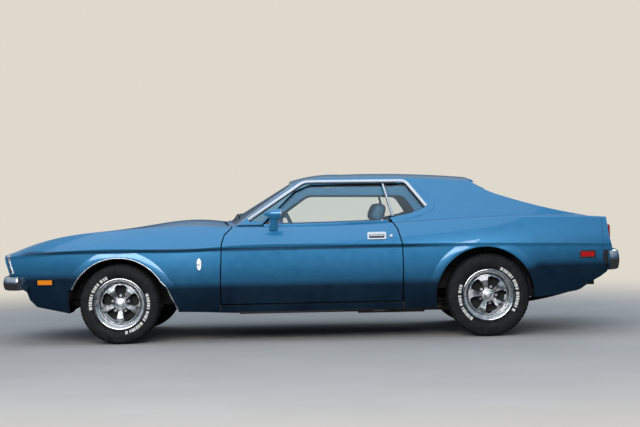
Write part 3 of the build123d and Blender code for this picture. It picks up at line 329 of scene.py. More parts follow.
def between_planes(outline, y_from, y_to, edge=0.002):
    """A plate over an (x, z) outline from one Y to another, its far edge softened."""
    vertices, faces = slab(outline, abs(y_to - y_from), edge)
    way = 1 if y_to > y_from else -1
    return [Vector((v.x, y_from + way * v.y, v.z)) for v in vertices], faces


def lying(outline, z_from, z_to, edge=0.002):
    """A plate over an (x, y) outline from one height up to another, its top edge softened."""
    vertices, faces = slab(outline, z_to - z_from, edge)
    return [Vector((v.x, v.z, z_from + v.y)) for v in vertices], faces


def rounded_box(size, power=5.0, steps=10, place=(0, 0, 0), lean=0.0):
    """A box with crowned faces and rounded edges, leaned about Y and put at a place."""
    half = Vector(size) / 2
    vertices, faces, index = [], [], {}

    def point(direction):
        key = tuple(round(c, 6) for c in direction)
        if key not in index:
            length = sum(abs(c) ** power for c in direction) ** (-1 / power)
            index[key] = len(vertices)
            vertices.append(Vector([c * length * h for c, h in zip(direction, half)]))
        return index[key]

    for axis in range(3):
        for sign in (1, -1):
            for i in range(steps):
                for j in range(steps):
                    corner = []
                    for a, b in ((i, j), (i + 1, j), (i + 1, j + 1), (i, j + 1)):
                        direction = [0.0, 0.0, 0.0]
                        direction[axis] = sign
                        direction[(axis + 1) % 3] = math.tan((2 * a / steps - 1) * math.pi / 4)
                        direction[(axis + 2) % 3] = math.tan((2 * b / steps - 1) * math.pi / 4)
                        corner.append(point(direction))
                    faces.append(tuple(corner))
    return moved((vertices, faces), Matrix.Translation(place) @ Matrix.Rotation(lean, 4, "Y"))


def arch_edge(place):
    """The edge of a wheel arch on the side: (x, z) points, each with the direction away from the wheel."""
    if place == "front":
        centre_x, centre_z, radius, start, end = front_axle_x + 0.005, 0.268, 0.376, 24, 148
    else:
        centre_x, centre_z, radius, start, end = rear_axle_x + 0.026, 0.310, 0.367, -10, 179
    edge = []
    for step in range(49):
        angle = math.radians(start + (end - start) * step / 48)
        out = (math.cos(angle), math.sin(angle))
        edge.append(((centre_x + radius * out[0], centre_z + radius * out[1]), out))
    if place == "front":
        top, foot = Vector((centre_x - 0.362, 0.424)), Vector((centre_x - 0.446, 0.246))
        edge += [(tuple(top.lerp(foot, step / 8)), (-0.903, 0.430)) for step in range(9)]
    return edge


def facing(place, normal, up=(0, 0, 1)):
    """A matrix that puts a plate's own Y along the normal and its Z as near up as it goes."""
    out = normal.normalized()
    across = out.cross(Vector(up)).normalized()
    upward = across.cross(out)
    matrix = Matrix((across, out, upward)).transposed().to_4x4()
    matrix.translation = place
    return matrix


def patch(nodes, outline, side, bridge_y, lift=0.002, depth=0.012, rings=4):
    """A thin panel over an (x, z) outline, laid on the side of some nodes, flat at bridge_y beyond them."""
    inmost_y = 0.7
    centre = Vector((sum(p[0] for p in outline), sum(p[1] for p in outline))) / len(outline)
    vertices = []
    for ring in range(1, rings + 1):
        for point in outline:
            x, z = centre.lerp(Vector(point), ring / rings)
            place = bare_cast(nodes, x, z, side)
            on_panel = place is not None and side * place.y > inmost_y
            vertices.append(Vector((x, side * ((abs(place.y) if on_panel else bridge_y) + lift), z)))
    size = len(outline)
    vertices += [v - Vector((0, side * depth, 0)) for v in vertices[-size:]]
    return vertices, [tuple(range(size))] + ring_faces(rings + 1, size)


def beside(path, distance):
    """The (x, z) path moved sideways, to the left as it runs when seen with X right and Z up."""
    moved_path = []
    for i, point in enumerate(path):
        before, after = path[max(0, i - 1)], path[min(len(path) - 1, i + 1)]
        along = Vector((after[0] - before[0], after[1] - before[1])).normalized()
        moved_path.append((point[0] - along.y * distance, point[1] + along.x * distance))
    return moved_path


def round_path(path, radius, steps=5):
    """The (x, z) path with its inner corners rounded."""
    points = [path[0]]
    for before, corner, after in zip(path, path[1:], path[2:]):
        corner = Vector(corner)
        a, b = Vector(before) - corner, Vector(after) - corner
        reach = min(radius, a.length / 2.1, b.length / 2.1)
        start, end = corner + a.normalized() * reach, corner + b.normalized() * reach
        for i in range(steps + 1):
            t = i / steps
            points.append(tuple((1 - t) ** 2 * start + 2 * t * (1 - t) * corner + t * t * end))
    return points + [path[-1]]


# materials

def add_node(tree, kind, inputs, output, **options):
    """Adds a shader node, feeds its inputs with sockets or values, and gives one of its outputs."""
    node = tree.nodes.new("ShaderNode" + kind)
    for name, value in options.items():
        setattr(node, name, value)
    for name, value in inputs.items():
        feed(tree, value, node.inputs[name])
    return node.outputs[output]


def feed(tree, value, socket):
    if isinstance(value, bpy.types.NodeSocket):
        tree.links.new(value, socket)
    else:
        socket.default_value = value


def shader_material(name, color, roughness=0.5, metallic=0.0, coat=0.0, specular=0.5):
    material = bpy.data.materials.new(name)
    material.use_nodes = True
    shader = material.node_tree.nodes["Principled BSDF"]
    for socket, value in (("Base Color", (*color, 1)), ("Roughness", roughness), ("Metallic", metallic),
                          ("Coat Weight", coat), ("Coat Roughness", 0.03), ("Specular IOR Level", specular)):
        shader.inputs[socket].default_value = value
    return material, material.node_tree, shader


def scaled(color, factor, lift=0.0):
    """A colour made lighter or darker."""
    return tuple(min(1, c * factor + lift) for c in color)


def place_on(tree):
    """The place on the car, in metres."""
    return add_node(tree, "TexCoord", {}, "Object")


def place_along(tree, axis):
    """One coordinate of the place on the car."""
    return add_node(tree, "SeparateXYZ", {"Vector": place_on(tree)}, axis)


def object_noise(tree, scale, detail=4.0):
    return add_node(tree, "TexNoise", {"Vector": place_on(tree), "Scale": scale, "Detail": detail,
                                       "Roughness": 0.55}, "Fac")


def spread(tree, value, low, high, from_low=0.3, from_high=0.7, kind="LINEAR"):
    """Maps a texture value to a range."""
    return add_node(tree, "MapRange", {"Value": value, "From Min": from_low, "From Max": from_high,
                                       "To Min": low, "To Max": high}, "Result", interpolation_type=kind)


def combine(tree, operation, first, second=0.5):
    return add_node(tree, "Math", {0: first, 1: second}, "Value", operation=operation)


def mix_shaders(tree, factor, first, second):
    return add_node(tree, "MixShader", {"Fac": factor, 1: first, 2: second}, "Shader")


def blend_colors(tree, factor, first, second):
    """Mixes two colours, or colour sockets, by a factor."""
    node = tree.nodes.new("ShaderNodeMix")
    node.data_type = "RGBA"
    inputs = [s for s in node.inputs if s.type == "RGBA"]
    for socket, value in zip(inputs, (first, second)):
        feed(tree, (*value, 1) if isinstance(value, tuple) else value, socket)
    tree.links.new(factor, node.inputs["Factor"])
    return next(s for s in node.outputs if s.type == "RGBA")


def color_ramp(tree, value, ends, stops):
    """Blends from a colour at 0 to one at 1 over (place, colour) stops between them."""
    node = tree.nodes.new("ShaderNodeValToRGB")
    elements = node.color_ramp.elements
    for element, color in zip(elements, ends):
        element.color = (*color, 1)
    for place, color in stops:
        elements.new(place).color = (*color, 1)
    tree.links.new(value, node.inputs["Fac"])
    return node.outputs["Color"]


def add_bump(tree, shader, height, strength, distance=0.001, target="Normal"):
    bump = add_node(tree, "Bump", {"Height": height, "Strength": strength, "Distance": distance}, "Normal")
    tree.links.new(bump, shader.inputs[target])


def height_share(tree, low, high):
    """0 below a height on the car and 1 above another."""
    return spread(tree, place_along(tree, "Z"), 0, 1, low, high)


def painted_sill_shade(tree):
    """How far up the painted shade and painted reflection that darken the paint towards the sills a place is: 0
    at the sill, 1 at the crease; a grey band of painted shade darkens it under the crease too.
    """
    def grey(stops):
        return [(place, (share, share, share)) for place, share in stops]

    black, white = (0, 0, 0), (1, 1, 1)
    height = height_share(tree, 0.22, 0.78)
    # a narrow band just under the crease, where painted shade darkens the paint
    shade = color_ramp(tree, height, (black, black),
                       grey(((0.818, 0.0), (0.836, 1.0), (0.866, 1.0), (0.878, 0.0))))
    # the painted sill shade reaches higher near the nose and the tail
    lowered = height
    for low, high, drop in ((1.50, 1.78, 0.15), (-1.45, -1.70, 0.20)):
        lowered = combine(tree, "SUBTRACT", lowered, spread(tree, place_along(tree, "X"), 0, drop, low, high))
    # painted shade and painted reflection of a dark ground, deepest at the sills
    depth = color_ramp(tree, lowered, (black, white),
                       grey(((0.34, 0.02), (0.43, 0.50), (0.64, 0.88), (0.82, 1.0))))
    width = combine(tree, "ABSOLUTE", place_along(tree, "Y"))
    # the painted crease shade only on the sides, ahead of the rear quarter
    for share in (spread(tree, place_along(tree, "X"), 0, 1, -1.10, -0.75),
                  spread(tree, width, 0, 1, 0.79, 0.82)):
        shade = combine(tree, "MULTIPLY", shade, share)
    return blend_colors(tree, shade, depth, (0.22, 0.22, 0.22))


def body_paint(name):
    """Metallic paint with flakes, painted shade and painted reflection darkening it towards the sills and under
    the crease, road dust low down and a slightly uneven clear coat.
    """
    color, shaded_low_color = (tuple(getattr(settings("coupe_paint"), key)) for key in ("body", "body_shaded_low"))
    material, tree, shader = shader_material(name, color, 0.36, 0.30, 1.0, 0.3)
    # painted shade and painted reflection: both flake tones blend to the dark low colour towards the sills and
    # darken under the crease
    depth = painted_sill_shade(tree)
    dark, light = (blend_colors(tree, depth, scaled(shaded_low_color, share), scaled(color, share))
                   for share in (0.98, 1.02))
    flakes = add_node(tree, "TexVoronoi", {"Vector": place_on(tree), "Scale": 900}, "Color")
    sparkle = add_node(tree, "SeparateColor", {"Color": flakes}, "Red")
    mottled = blend_colors(tree, sparkle, dark, light)
    faded = blend_colors(tree, spread(tree, object_noise(tree, 2.3), 0.0, 0.10), mottled, (0.05, 0.20, 0.33))
    dust = combine(tree, "MULTIPLY", spread(tree, object_noise(tree, 9.0), 0.0, 0.35),
                   height_share(tree, 0.36, 0.20))
    tree.links.new(blend_colors(tree, dust, faded, (0.014, 0.018, 0.022)), shader.inputs["Base Color"])
    tree.links.new(spread(tree, object_noise(tree, 14.0), 0.26, 0.40), shader.inputs["Roughness"])
    add_bump(tree, shader, object_noise(tree, 36.0, 1.0), 0.05, 0.0006, "Coat Normal")
    return material


def chrome(name, shade=0.78, roughness=0.09):
    material, tree, shader = shader_material(name, (shade, shade, shade * 1.01), roughness, 1.0)
    tree.links.new(spread(tree, object_noise(tree, 30.0), roughness * 0.6, roughness * 2.0),
                   shader.inputs["Roughness"])
    add_bump(tree, shader, object_noise(tree, 420.0, 2.0), 0.04, 0.0004)
    stain = blend_colors(tree, spread(tree, object_noise(tree, 60.0), 0.0, 0.35, 0.5, 0.8),
                         (shade, shade, shade), (shade * 0.72, shade * 0.68, shade * 0.6))
    tree.links.new(stain, shader.inputs["Base Color"])
    return material


def rubber(name, shade):
    material, tree, shader = shader_material(name, (shade, shade, shade * 1.05), 0.7, specular=0.2)
    worn = blend_colors(tree, spread(tree, object_noise(tree, 18.0), 0.0, 0.6),
                        (shade, shade * 1.02, shade * 1.1), (shade * 3.0, shade * 2.9, shade * 2.7))
    tree.links.new(worn, shader.inputs["Base Color"])
    tree.links.new(spread(tree, object_noise(tree, 40.0), 0.55, 0.82), shader.inputs["Roughness"])
    add_bump(tree, shader, object_noise(tree, 500.0), 0.25, 0.0004)
    return material


def plain_rough(name, color, roughness, grain=300.0, strength=0.2, metallic=0.0, second=None, patch=12.0):
    """A plain surface with grain, uneven gloss and a second tone in patches."""
    material, tree, shader = shader_material(name, color, roughness, metallic)
    other = second or scaled(color, 1.5, 0.004)
    tree.links.new(blend_colors(tree, spread(tree, object_noise(tree, patch), 0.0, 0.7), color, other),
                   shader.inputs["Base Color"])
    tree.links.new(spread(tree, object_noise(tree, patch * 3), max(0.02, roughness - 0.12),
                          min(1, roughness + 0.1)), shader.inputs["Roughness"])
    add_bump(tree, shader, object_noise(tree, grain), strength, 0.0006)
    return material


def vinyl(name, color):
    """Grained vinyl."""
    material, tree, shader = shader_material(name, color, 0.46)
    cells = add_node(tree, "TexVoronoi", {"Vector": place_on(tree), "Scale": 420}, "Distance",
                     feature="DISTANCE_TO_EDGE")
    add_bump(tree, shader, cells, 0.35, 0.0008)
    tone = blend_colors(tree, spread(tree, object_noise(tree, 8.0), 0.0, 0.6), color,
                        scaled(color, 1.6, 0.006))
    tree.links.new(tone, shader.inputs["Base Color"])
    return material


def glass(name, tint, band=False):
    """Clear glass that tints what is behind it and mirrors at its surface."""
    material = bpy.data.materials.new(name)
    material.use_nodes = True
    tree = material.node_tree
    tree.nodes.clear()
    shade = (*tint, 1)
    if band:
        shade = blend_colors(tree, height_share(tree, 1.07, 1.13), tint, (0.16, 0.38, 0.30))
    clear = add_node(tree, "BsdfTransparent", {"Color": shade}, "BSDF")
    mirror = add_node(tree, "BsdfGlossy", {"Roughness": 0.02, "Color": (0.9, 0.95, 1.0, 1)}, "BSDF")
    edge = add_node(tree, "Fresnel", {"IOR": 1.45}, "Fac")
    output = tree.nodes.new("ShaderNodeOutputMaterial")
    tree.links.new(mix_shaders(tree, edge, clear, mirror), output.inputs["Surface"])
    return material


def lens(name, color, ribs=160.0):
    """Moulded lamp lens with a ribbed inside."""
    material, tree, shader = shader_material(name, color, 0.16, 0.0, 0.6)
    wave = add_node(tree, "TexWave", {"Vector": place_on(tree), "Scale": ribs / 6.28}, "Fac")
    add_bump(tree, shader, wave, 0.35, 0.001)
    tree.links.new(blend_colors(tree, spread(tree, wave, 0.0, 0.5, 0.2, 0.8), color, scaled(color, 0.55)),
                   shader.inputs["Base Color"])
    return material


def cabin_lined_paint(name):
    """Body paint outside and trim cloth on the faces that look down into the cabin."""
    material = finishes["body_paint"].copy()
    material.name = name
    tree = material.node_tree
    shader = tree.nodes["Principled BSDF"]
    normal = add_node(tree, "NewGeometry", {}, "Normal")
    up = add_node(tree, "SeparateXYZ", {"Vector": normal}, "Z")
    outer = shader.inputs["Base Color"].links[0].from_socket
    cloth = tuple(c * 1.1 for c in settings("coupe_paint").cabin)
    tree.links.new(blend_colors(tree, spread(tree, up, 1.0, 0.0, -0.30, -0.12), outer, cloth),
                   shader.inputs["Base Color"])
    return material


finishes = {}


def finish(name, maker, *values, **options):
    finishes[name] = maker(name, *values, **options)


def make_finishes():
    """Every finish the car has, by name."""
    paint = settings("coupe_paint")
    cabin = tuple(paint.cabin)
    finish("body_paint", body_paint)
    finish("roof_paint", cabin_lined_paint)
    finish("chrome", chrome)
    finish("wheel_metal", chrome, 0.84, 0.24)
    finish("bright_trim", chrome, 0.95, 0.32)
    finish("lamp_bright", chrome, 0.9, 0.05)
    finish("mirror", chrome, 0.85, 0.02)
    finish("tyre_rubber", rubber, 0.008)
    finish("seal_rubber", rubber, 0.010)
    finish("window_glass", glass, tuple(paint.tint))
    finish("screen_glass", glass, tuple(paint.tint), band=True)
    finish("lamp_glass", glass, (0.95, 0.95, 0.95))
    finish("lamp_ribbed", glass, (0.93, 0.94, 0.95))
    finish("amber_lens", lens, tuple(paint.amber))
    finish("red_lens", lens, tuple(paint.red))
    finish("seat_vinyl", vinyl, cabin)
    # painted shade and painted reflection: the dark tone stands for the shaded cabin behind the corner glass,
    # the lighter patches for what the glass mirrors
    finish("corner_glass", plain_rough, (0.085, 0.19, 0.25), 0.12, 40.0, 0.02,
           second=(0.15, 0.28, 0.34), patch=5.0)
    finish("tyre_white", plain_rough, (0.72, 0.72, 0.68), 0.6, second=(0.5, 0.49, 0.45), patch=60)
    finish("black_trim", plain_rough, (0.012, 0.012, 0.013), 0.5)
    finish("frame_steel", plain_rough, (0.016, 0.015, 0.014), 0.62, second=(0.055, 0.045, 0.036))
    finish("cast_metal", plain_rough, (0.018, 0.017, 0.016), 0.75, 180.0, 0.4, second=(0.030, 0.024, 0.019))
    finish("hub_metal", plain_rough, (0.005, 0.005, 0.005), 0.75, 180.0, 0.4, second=(0.010, 0.008, 0.006))
    finish("exhaust_steel", plain_rough, (0.30, 0.28, 0.25), 0.42, 120.0, 0.2, 0.9, second=(0.16, 0.10, 0.06))
    finish("headliner", plain_rough, scaled(cabin, 1.15), 0.85, 600.0, 0.4)
    finish("cabin_plastic", plain_rough, cabin, 0.55, 380.0, 0.3)
    finish("grip", plain_rough, scaled(cabin, 0.8), 0.32, 200.0, 0.08)
    finish("carpet", plain_rough, scaled(cabin, 0.55), 0.95, 700.0, 0.9)


NODE_FINISH = {
    "roof": "roof_paint", "grille": "black_trim", "headlamps": "lamp_glass", "front_bumper": "chrome",
    "rear_bumper": "chrome", "tail_lamps": "red_lens", "bumper_brackets": "frame_steel",
    "side_markers": "amber_lens", "windshield": "screen_glass", "rear_glass": "window_glass",
    "quarter_glass": "window_glass", "door_glass_left": "window_glass", "door_glass_right": "window_glass",
    "dashboard": "cabin_plastic", "steering_column": "cabin_plastic", "steering_wheel": "grip",
    "front_seats": "seat_vinyl", "rear_seat": "seat_vinyl", "engine": "cast_metal", "rear_axle": "hub_metal",
    "front_suspension": "frame_steel", "exhaust": "exhaust_steel", "fuel_tank": "frame_steel",
    "knuckle_left": "hub_metal", "knuckle_right": "hub_metal", "underbody": "frame_steel",
}


def at_wheel(place):
    """A matrix that puts what is turned about Y, its outer side towards +Y, at a wheel."""
    centre, _ = AXLES[place]
    return Matrix.Translation(centre) @ Matrix.Rotation(0 if centre.y > 0 else math.pi, 4, "Z")


class COUPE_OT_finish_nodes(bpy.types.Operator):
    """Gives every CAD node its finish"""

    bl_idname = "coupe.finish_nodes"
    bl_label = "Finish the packed nodes"

    def execute(self, context):
        make_finishes()
        for name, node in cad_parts.items():
            if name.startswith("rim_"):
                chosen = "wheel_metal"
            elif name.startswith("tyre_"):
                chosen = "tyre_rubber"
            else:
                chosen = NODE_FINISH.get(name, "body_paint")
            node.data.materials.clear()
            node.data.materials.append(finishes[chosen])
        return {"FINISHED"}


class COUPE_OT_tyres(bpy.types.Operator):
    """Makes the four tyres with their tread and raised white marks"""

    bl_idname = "coupe.tyres"
    bl_label = "Tyres"

    # where the side of a tyre starts to bulge, across the tyre
    wall_y = 0.0915

    def execute(self, context):
        sizes = settings("coupe_sizes")
        for place in WHEELS:
            radius = AXLES[place][1]
            at, body = at_wheel(place), "wheel_" + place
            tyre = moved(self.carcass(radius, sizes.tread_depth), at)
            piece = make_piece("tyre_dressed_" + place, tyre, "tyre_rubber", body, sharp=40)
            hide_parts("tyre_" + place)
            marks = moved(self.marks(sizes.mark_height, place), at)
            make_piece("tyre_marks_" + place, marks, "tyre_white", body)
        return {"FINISHED"}

    def carcass(self, radius, depth):
        """A tyre about Y with grooves round it and cut shoulders."""
        bead, widest_y, segments = 0.1785, 0.106, 180
        half = [(bead, 0.080), (bead + 0.010, 0.0855), (bead + 0.020, 0.090), (bead + 0.026, self.wall_y),
                (bead + 0.028, 0.0900)]
        bulge_start, bulge_end = bead + 0.032, radius - 0.030
        for i in range(9):
            t = i / 8
            swell = math.sin(math.pi * min(1, 0.15 + 0.62 * t))
            half.append((bulge_start + (bulge_end - bulge_start) * t,
                         self.wall_y + (widest_y - self.wall_y) * swell))
        half += [(radius - 0.026, 0.1010), (radius - 0.0255, 0.0985), (radius - 0.018, 0.0975),
                 (radius - 0.009, 0.0925), (radius - 0.004, 0.0840)]
        right = half + [(radius - 0.0022, 0.078), (radius - 0.0012, 0.060)]
        first, last = len(half) - 3, len(right)
        for centre in (0.050, 0.017):
            right += [(radius - 0.0008, centre + 0.005), (radius - depth, centre + 0.0035),
                      (radius - depth, centre - 0.0035), (radius, centre - 0.005)]
        left = [(r, -y) for r, y in reversed(right)]
        inner = [(bead, -0.066), (radius - 0.060, -0.094), (radius - 0.020, -0.070),
                 (radius - 0.020, 0.070), (radius - 0.060, 0.094), (bead, 0.066)]
        profile = right + left + inner
        vertices, faces = lathe(profile, segments, closed=True)
        shoulders = [*range(first, last), *range(len(right) * 2 - last, len(right) * 2 - first)]
        for step in range(0, segments, 3):
            for index in shoulders:
                v = vertices[step * len(profile) + index]
                reach = math.hypot(v.x, v.z)
                cut = (reach - depth * 0.8) / reach
                vertices[step * len(profile) + index] = Vector((v.x * cut, v.y * 0.985, v.z * cut))
        return vertices, faces

    def marks(self, height, place):
        """Raised white blocks of uneven width in two runs, which stand for no words."""
        wide = (1.0, 0.6, 0.8, 0.5, 0.9, 0.45, 0.0, 0.85, 0.5, 0.9, 0.7, 0.0)
        first = {"front_left": -10.0, "rear_left": -55.0}.get(place, 20.0)
        parts = []
        for start, reach in ((first, 76.0), (first + 170.0, 98.0)):
            angle, index = start, 0
            while angle < start + reach:
                share = wide[index % len(wide)]
                if share:
                    parts.append(self.block(height, math.radians(angle), math.radians(angle + 5.6 * share)))
                angle += 7.4 * max(share, 0.45)
                index += 1
        return joined(parts)

    def block(self, height, start, end):
        """One raised block between two angles."""
        steps, low = 4, 0.206
        high = low + height
        section = ((low, self.wall_y), (low + 0.001, 0.1012), (high - 0.001, 0.1048), (high, self.wall_y))
        vertices = []
        for i in range(steps + 1):
            angle = start + (end - start) * i / steps
            vertices += [Vector((r * math.cos(angle), y, r * math.sin(angle))) for r, y in section]
        ends = [(0, 1, 2, 3), tuple(4 * steps + j for j in (3, 2, 1, 0))]
        return vertices, ring_faces(steps + 1, 4) + ends


class COUPE_OT_window_trim(bpy.types.Operator):
    """Makes the bright strips and seals round the windows"""

    bl_idname = "coupe.window_trim"
    bl_label = "Window trim"

    def execute(self, context):
        width = settings("coupe_sizes").frame_width
        border = round_path([(0.475, 0.913), (0.062, 1.193), (-0.020, 1.196),
                             (rear_axle_x + 0.597, 1.188), (rear_axle_x + 0.447, 0.990)], 0.035)
        seal = beside(border, width / 2 + 0.003)
        ridge = round_path([(-0.800, 1.158), (-0.940, 1.014), (-0.913, 0.962), (-0.790, 0.915),
                            (-0.690, 0.893)], 0.05)
        divider = [(door_rear_x + 0.122, 1.166), (door_rear_x + 0.058, 0.917)]
        for side, name in SIDES:
            skins = ("roof", "quarter_" + name)
            panes = ("quarter_glass", "door_glass_" + name)
            for label, part, chosen in (
                    ("frame_", side_strip(skins + panes[:1], border, side, half_round(width, 0.006)), "chrome"),
                    ("seal_", side_strip(skins + panes, seal, side, half_round(0.010, 0.003)), "seal_rubber"),
                    ("corner_", self.corner(side), "corner_glass"),
                    ("ridge_", side_strip(skins, ridge, side, half_round(0.022, 0.0022)), "body_paint"),
                    ("divider_", side_strip(panes[:1], divider, side, half_round(0.020, 0.012)), "chrome")):
                make_piece("window_" + label + name, part, chosen)
        self.screen_trim()
        return {"FINISHED"}

    def corner(self, side):
        """The fixed front corner of the side window: an opaque dark pane over the foot of the pillar, its
        colour painted shade of the cabin behind the glass and painted reflection.
        """
        ahead = [Vector(p) for p in ((0.452, 0.906), (0.250, 1.046), (0.044, 1.178))]
        behind = [Vector(p) for p in ((0.378, 0.893), (0.222, 1.022), (0.000, 1.177))]
        columns, rows, least_y = 24, 6, 0.4
        vertices = []
        for i in range(columns + 1):
            t = i / columns * 2
            k = min(1, int(t))
            a, b = (edge[k].lerp(edge[k + 1], t - k) for edge in (ahead, behind))
            for j in range(rows + 1):
                place = bare_cast(("roof",), *a.lerp(b, j / rows), side)
                if place is not None and side * place.y > least_y:
                    vertices.append(place + Vector((0, side * 0.002, 0)))
                else:
                    vertices.append(vertices[-1].copy())
        return vertices, ring_faces(columns + 1, rows + 1, close_size=False)

    def screen_trim(self):
        """Bright strip round the windshield opening."""
        foot, top = (0.748, 0.880), (0.549, 1.168)
        arc = [(top[0] * (i / 12 - 1), top[1] + 0.041 * (1 - (i / 12 - 1) ** 2)) for i in range(1, 24)]
        outline = [(-foot[0], foot[1]), (-top[0], top[1]), *arc, top, foot]
        points, normals = cast_path(("roof",), [(AHEAD, y, z) for y, z in outline], (-1, 0, 0), 0.03)
        strip = sweep(points[:-1], normals[:-1], half_round(0.016, 0.005))
        make_piece("windshield_trim", strip, "chrome")


class COUPE_OT_side_trim(bpy.types.Operator):
    """Makes the door handles, locks, emblems, markers and arch trims"""

    bl_idname = "coupe.side_trim"
    bl_label = "Side trim"

    def execute(self, context):
        outline = rounded_rectangle(0.140, 0.062, 0.010)
        hole = [(u * 0.82, v * 0.48 - 0.006) for u, v in outline]
        # a thin black plate inside the handle's hole: painted shade of the recess behind the paddle
        recess = slab([(u * 0.98, v * 0.98) for u, v in hole], 0.0015, 0.0005)
        paddle = moved(slab(rounded_rectangle(0.104, 0.009, 0.003), 0.004, 0.001),
                       Matrix.Translation((0, 0, 0.004)))
        for side, name in SIDES:
            door, fender = "door_" + name, "fender_" + name
            at_handle = facing(*on_side((door,), door_rear_x + 0.186, 0.772, side))
            at_lock = facing(*on_side((door,), door_rear_x + 0.078, 0.772, side))
            at_emblem = facing(*on_side((fender,), front_axle_x - 0.607, 0.590, side))
            for label, part, at, chosen, body in (
                    ("handle_", frame_of(outline, hole, 0.009), at_handle, "chrome", door),
                    ("handle_recess_shade_", recess, at_handle, "black_trim", door),
                    ("handle_paddle_", paddle, at_handle, "chrome", door),
                    ("lock_", slab(ellipse(0.024, 0.024), 0.005), at_lock, "chrome", door),
                    ("emblem_", slab(ellipse(0.036, 0.092), 0.004), at_emblem, "bright_trim", "body")):
                make_piece(label + name, moved(part, at), chosen, body)
            self.markers(side, name)
            self.arch_trim(side, name)
        return {"FINISHED"}

    def markers(self, side, name):
        """The lens and the raised surround of the front and rear side markers."""
        for label, x, z, width, height, lens_finish, surround, node in (
                ("front_marker", front_axle_x + 0.559, 0.476, 0.116, 0.036, "amber_lens", "body_paint",
                 "fender_"),
                ("rear_marker", rear_axle_x - 0.745, 0.604, 0.104, 0.038, "red_lens", "chrome", "quarter_")):
            at = facing(*on_side((node + name,), x, z, side))
            outline = rounded_rectangle(width, height, 0.006)
            block = make_piece(label + "_" + name, moved(slab(outline, 0.009, 0.002), at), lens_finish)
            if side == 1 and label == "front_marker":
                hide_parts("side_markers")
            rim = [(u * (1 + 0.020 / width), v * (1 + 0.020 / height)) for u, v in outline]
            make_piece(label + "_bezel_" + name, moved(frame_of(rim, outline, 0.008), at), surround)

    def arch_trim(self, side, name):
        """The bright strip along the front arch."""
        section = half_round(settings("coupe_sizes").arch_trim, 0.0115)
        path = [(x + out_x * 0.004, z + out_z * 0.004) for (x, z), (out_x, out_z) in arch_edge("front")]
        strip = side_strip(("fender_" + name, "front_valance"), path, side, section)
        make_piece("arch_trim_" + name, strip, "bright_trim")


class COUPE_OT_panels(bpy.types.Operator):
    """Makes the rolled arch lips and the painted rockers"""

    bl_idname = "coupe.panels"
    bl_label = "Arch lips and rockers"

    def execute(self, context):
        for side, name in SIDES:
            for place, nodes in (("front", ("fender_" + name, "front_valance")),
                                 ("rear", ("quarter_" + name,))):
                lip = self.lip(place, nodes, side)
                make_piece("arch_lip_%s_%s" % (place, name), lip, "body_paint", sharp=50)
            make_piece("rocker_" + name, self.rocker(side), "body_paint")
        return {"FINISHED"}

    def lip(self, place, nodes, side):
        """A band swelling out along the arch and fading into the panel, with its edge turned inward."""
        section = ((0.0, -0.024), (0.0, 0.0055), (0.005, 0.0075), (0.022, 0.0068), (0.042, 0.0035),
                   (0.058, 0.0010), (0.066, -0.0012))
        widest, top_z, outermost = 0.066, 0.686, 0.9405
        vertices = []
        edge = arch_edge(place)
        for (x, z), (out_x, out_z) in edge:
            share = 1.0
            if out_z > 0 and z + out_z * widest > top_z:
                share = max(0.16, (top_z - z) / (out_z * widest))
            for distance, height in section:
                reach = distance * share + 0.0025
                skin, _ = on_side(nodes, x + out_x * reach, z + out_z * reach, side)
                out = min(outermost, abs(skin.y) + height * min(1.0, share * 1.6))
                distance *= share
                vertices.append(Vector((x + out_x * distance, side * out, z + out_z * distance)))
        return vertices, ring_faces(len(edge), len(section), close_size=False)

    def rocker(self, side):
        """A painted skin over the sill between the wheels."""
        rows, columns = 8, 60
        x_from, x_to, z_from, z_to = door_rear_x - 0.002, door_front_x + 0.004, 0.2265, 0.2780
        vertices = []
        for i in range(columns + 1):
            for j in range(rows + 1):
                place, _ = on_side(("underbody",), x_from + (x_to - x_from) * i / columns,
                                   z_from + (z_to - z_from) * j / rows, side)
                vertices.append(place + Vector((0, side * 0.0012, 0)))
        return vertices, ring_faces(columns + 1, rows + 1, close_size=False)


class COUPE_OT_wheels(bpy.types.Operator):
    """Makes the plain caps, bright rings, black pads, dark rings of painted shade in the grooves, and valves of
    the wheels
    """

    bl_idname = "coupe.wheels"
    bl_label = "Wheel dressing"

    def execute(self, context):
        cap = lathe([(0.0005, 0.0672), (0.012, 0.0668), (0.022, 0.0648), (0.029, 0.0618), (0.0325, 0.0575),
                     (0.0330, 0.0540), (0.0385, 0.0535), (0.0385, 0.0570), (0.0360, 0.0580),
                     (0.0340, 0.0568)], 48)
        ring = lathe([(0.1455, 0.0385), (0.1462, 0.0418), (0.1485, 0.0432), (0.1512, 0.0428),
                      (0.1530, 0.0400), (0.1530, 0.0380)], 96)
        lip = lathe([(0.1825, 0.0955), (0.1850, 0.0972), (0.1890, 0.0978), (0.1925, 0.0970),
                     (0.1940, 0.0955)], 96)
        valve = moved(lathe([(0.0005, 0.020), (0.0028, 0.020), (0.0032, 0.0), (0.0045, 0.0)], 12),
                      Matrix.Translation((0.113, 0.042, 0.113)))
        dressing = (
            ("cap_", cap, "bright_trim", "wheel_metal"),
            ("pad_", lathe([(0.0400, 0.0228), (0.0788, 0.0228), (0.0788, 0.0098)], 64), "hub_metal", None),
            ("rings_", joined([ring, lip]), "chrome", "wheel_metal"),
            # a flat dark ring laid on the rim: painted shade in the groove outside the bright ring
            ("groove_shade_", lathe([(0.1535, 0.0402), (0.1580, 0.0402)], 96), "seal_rubber", "wheel_metal"),
            ("valve_", valve, "seal_rubber", "tyre_rubber"),
        )
        for place in WHEELS:
            for label, part, chosen, slot in dressing:
                dressed = moved(part, at_wheel(place))
                make_piece("wheel_" + label + place, dressed, chosen, "wheel_" + place)
        return {"FINISHED"}


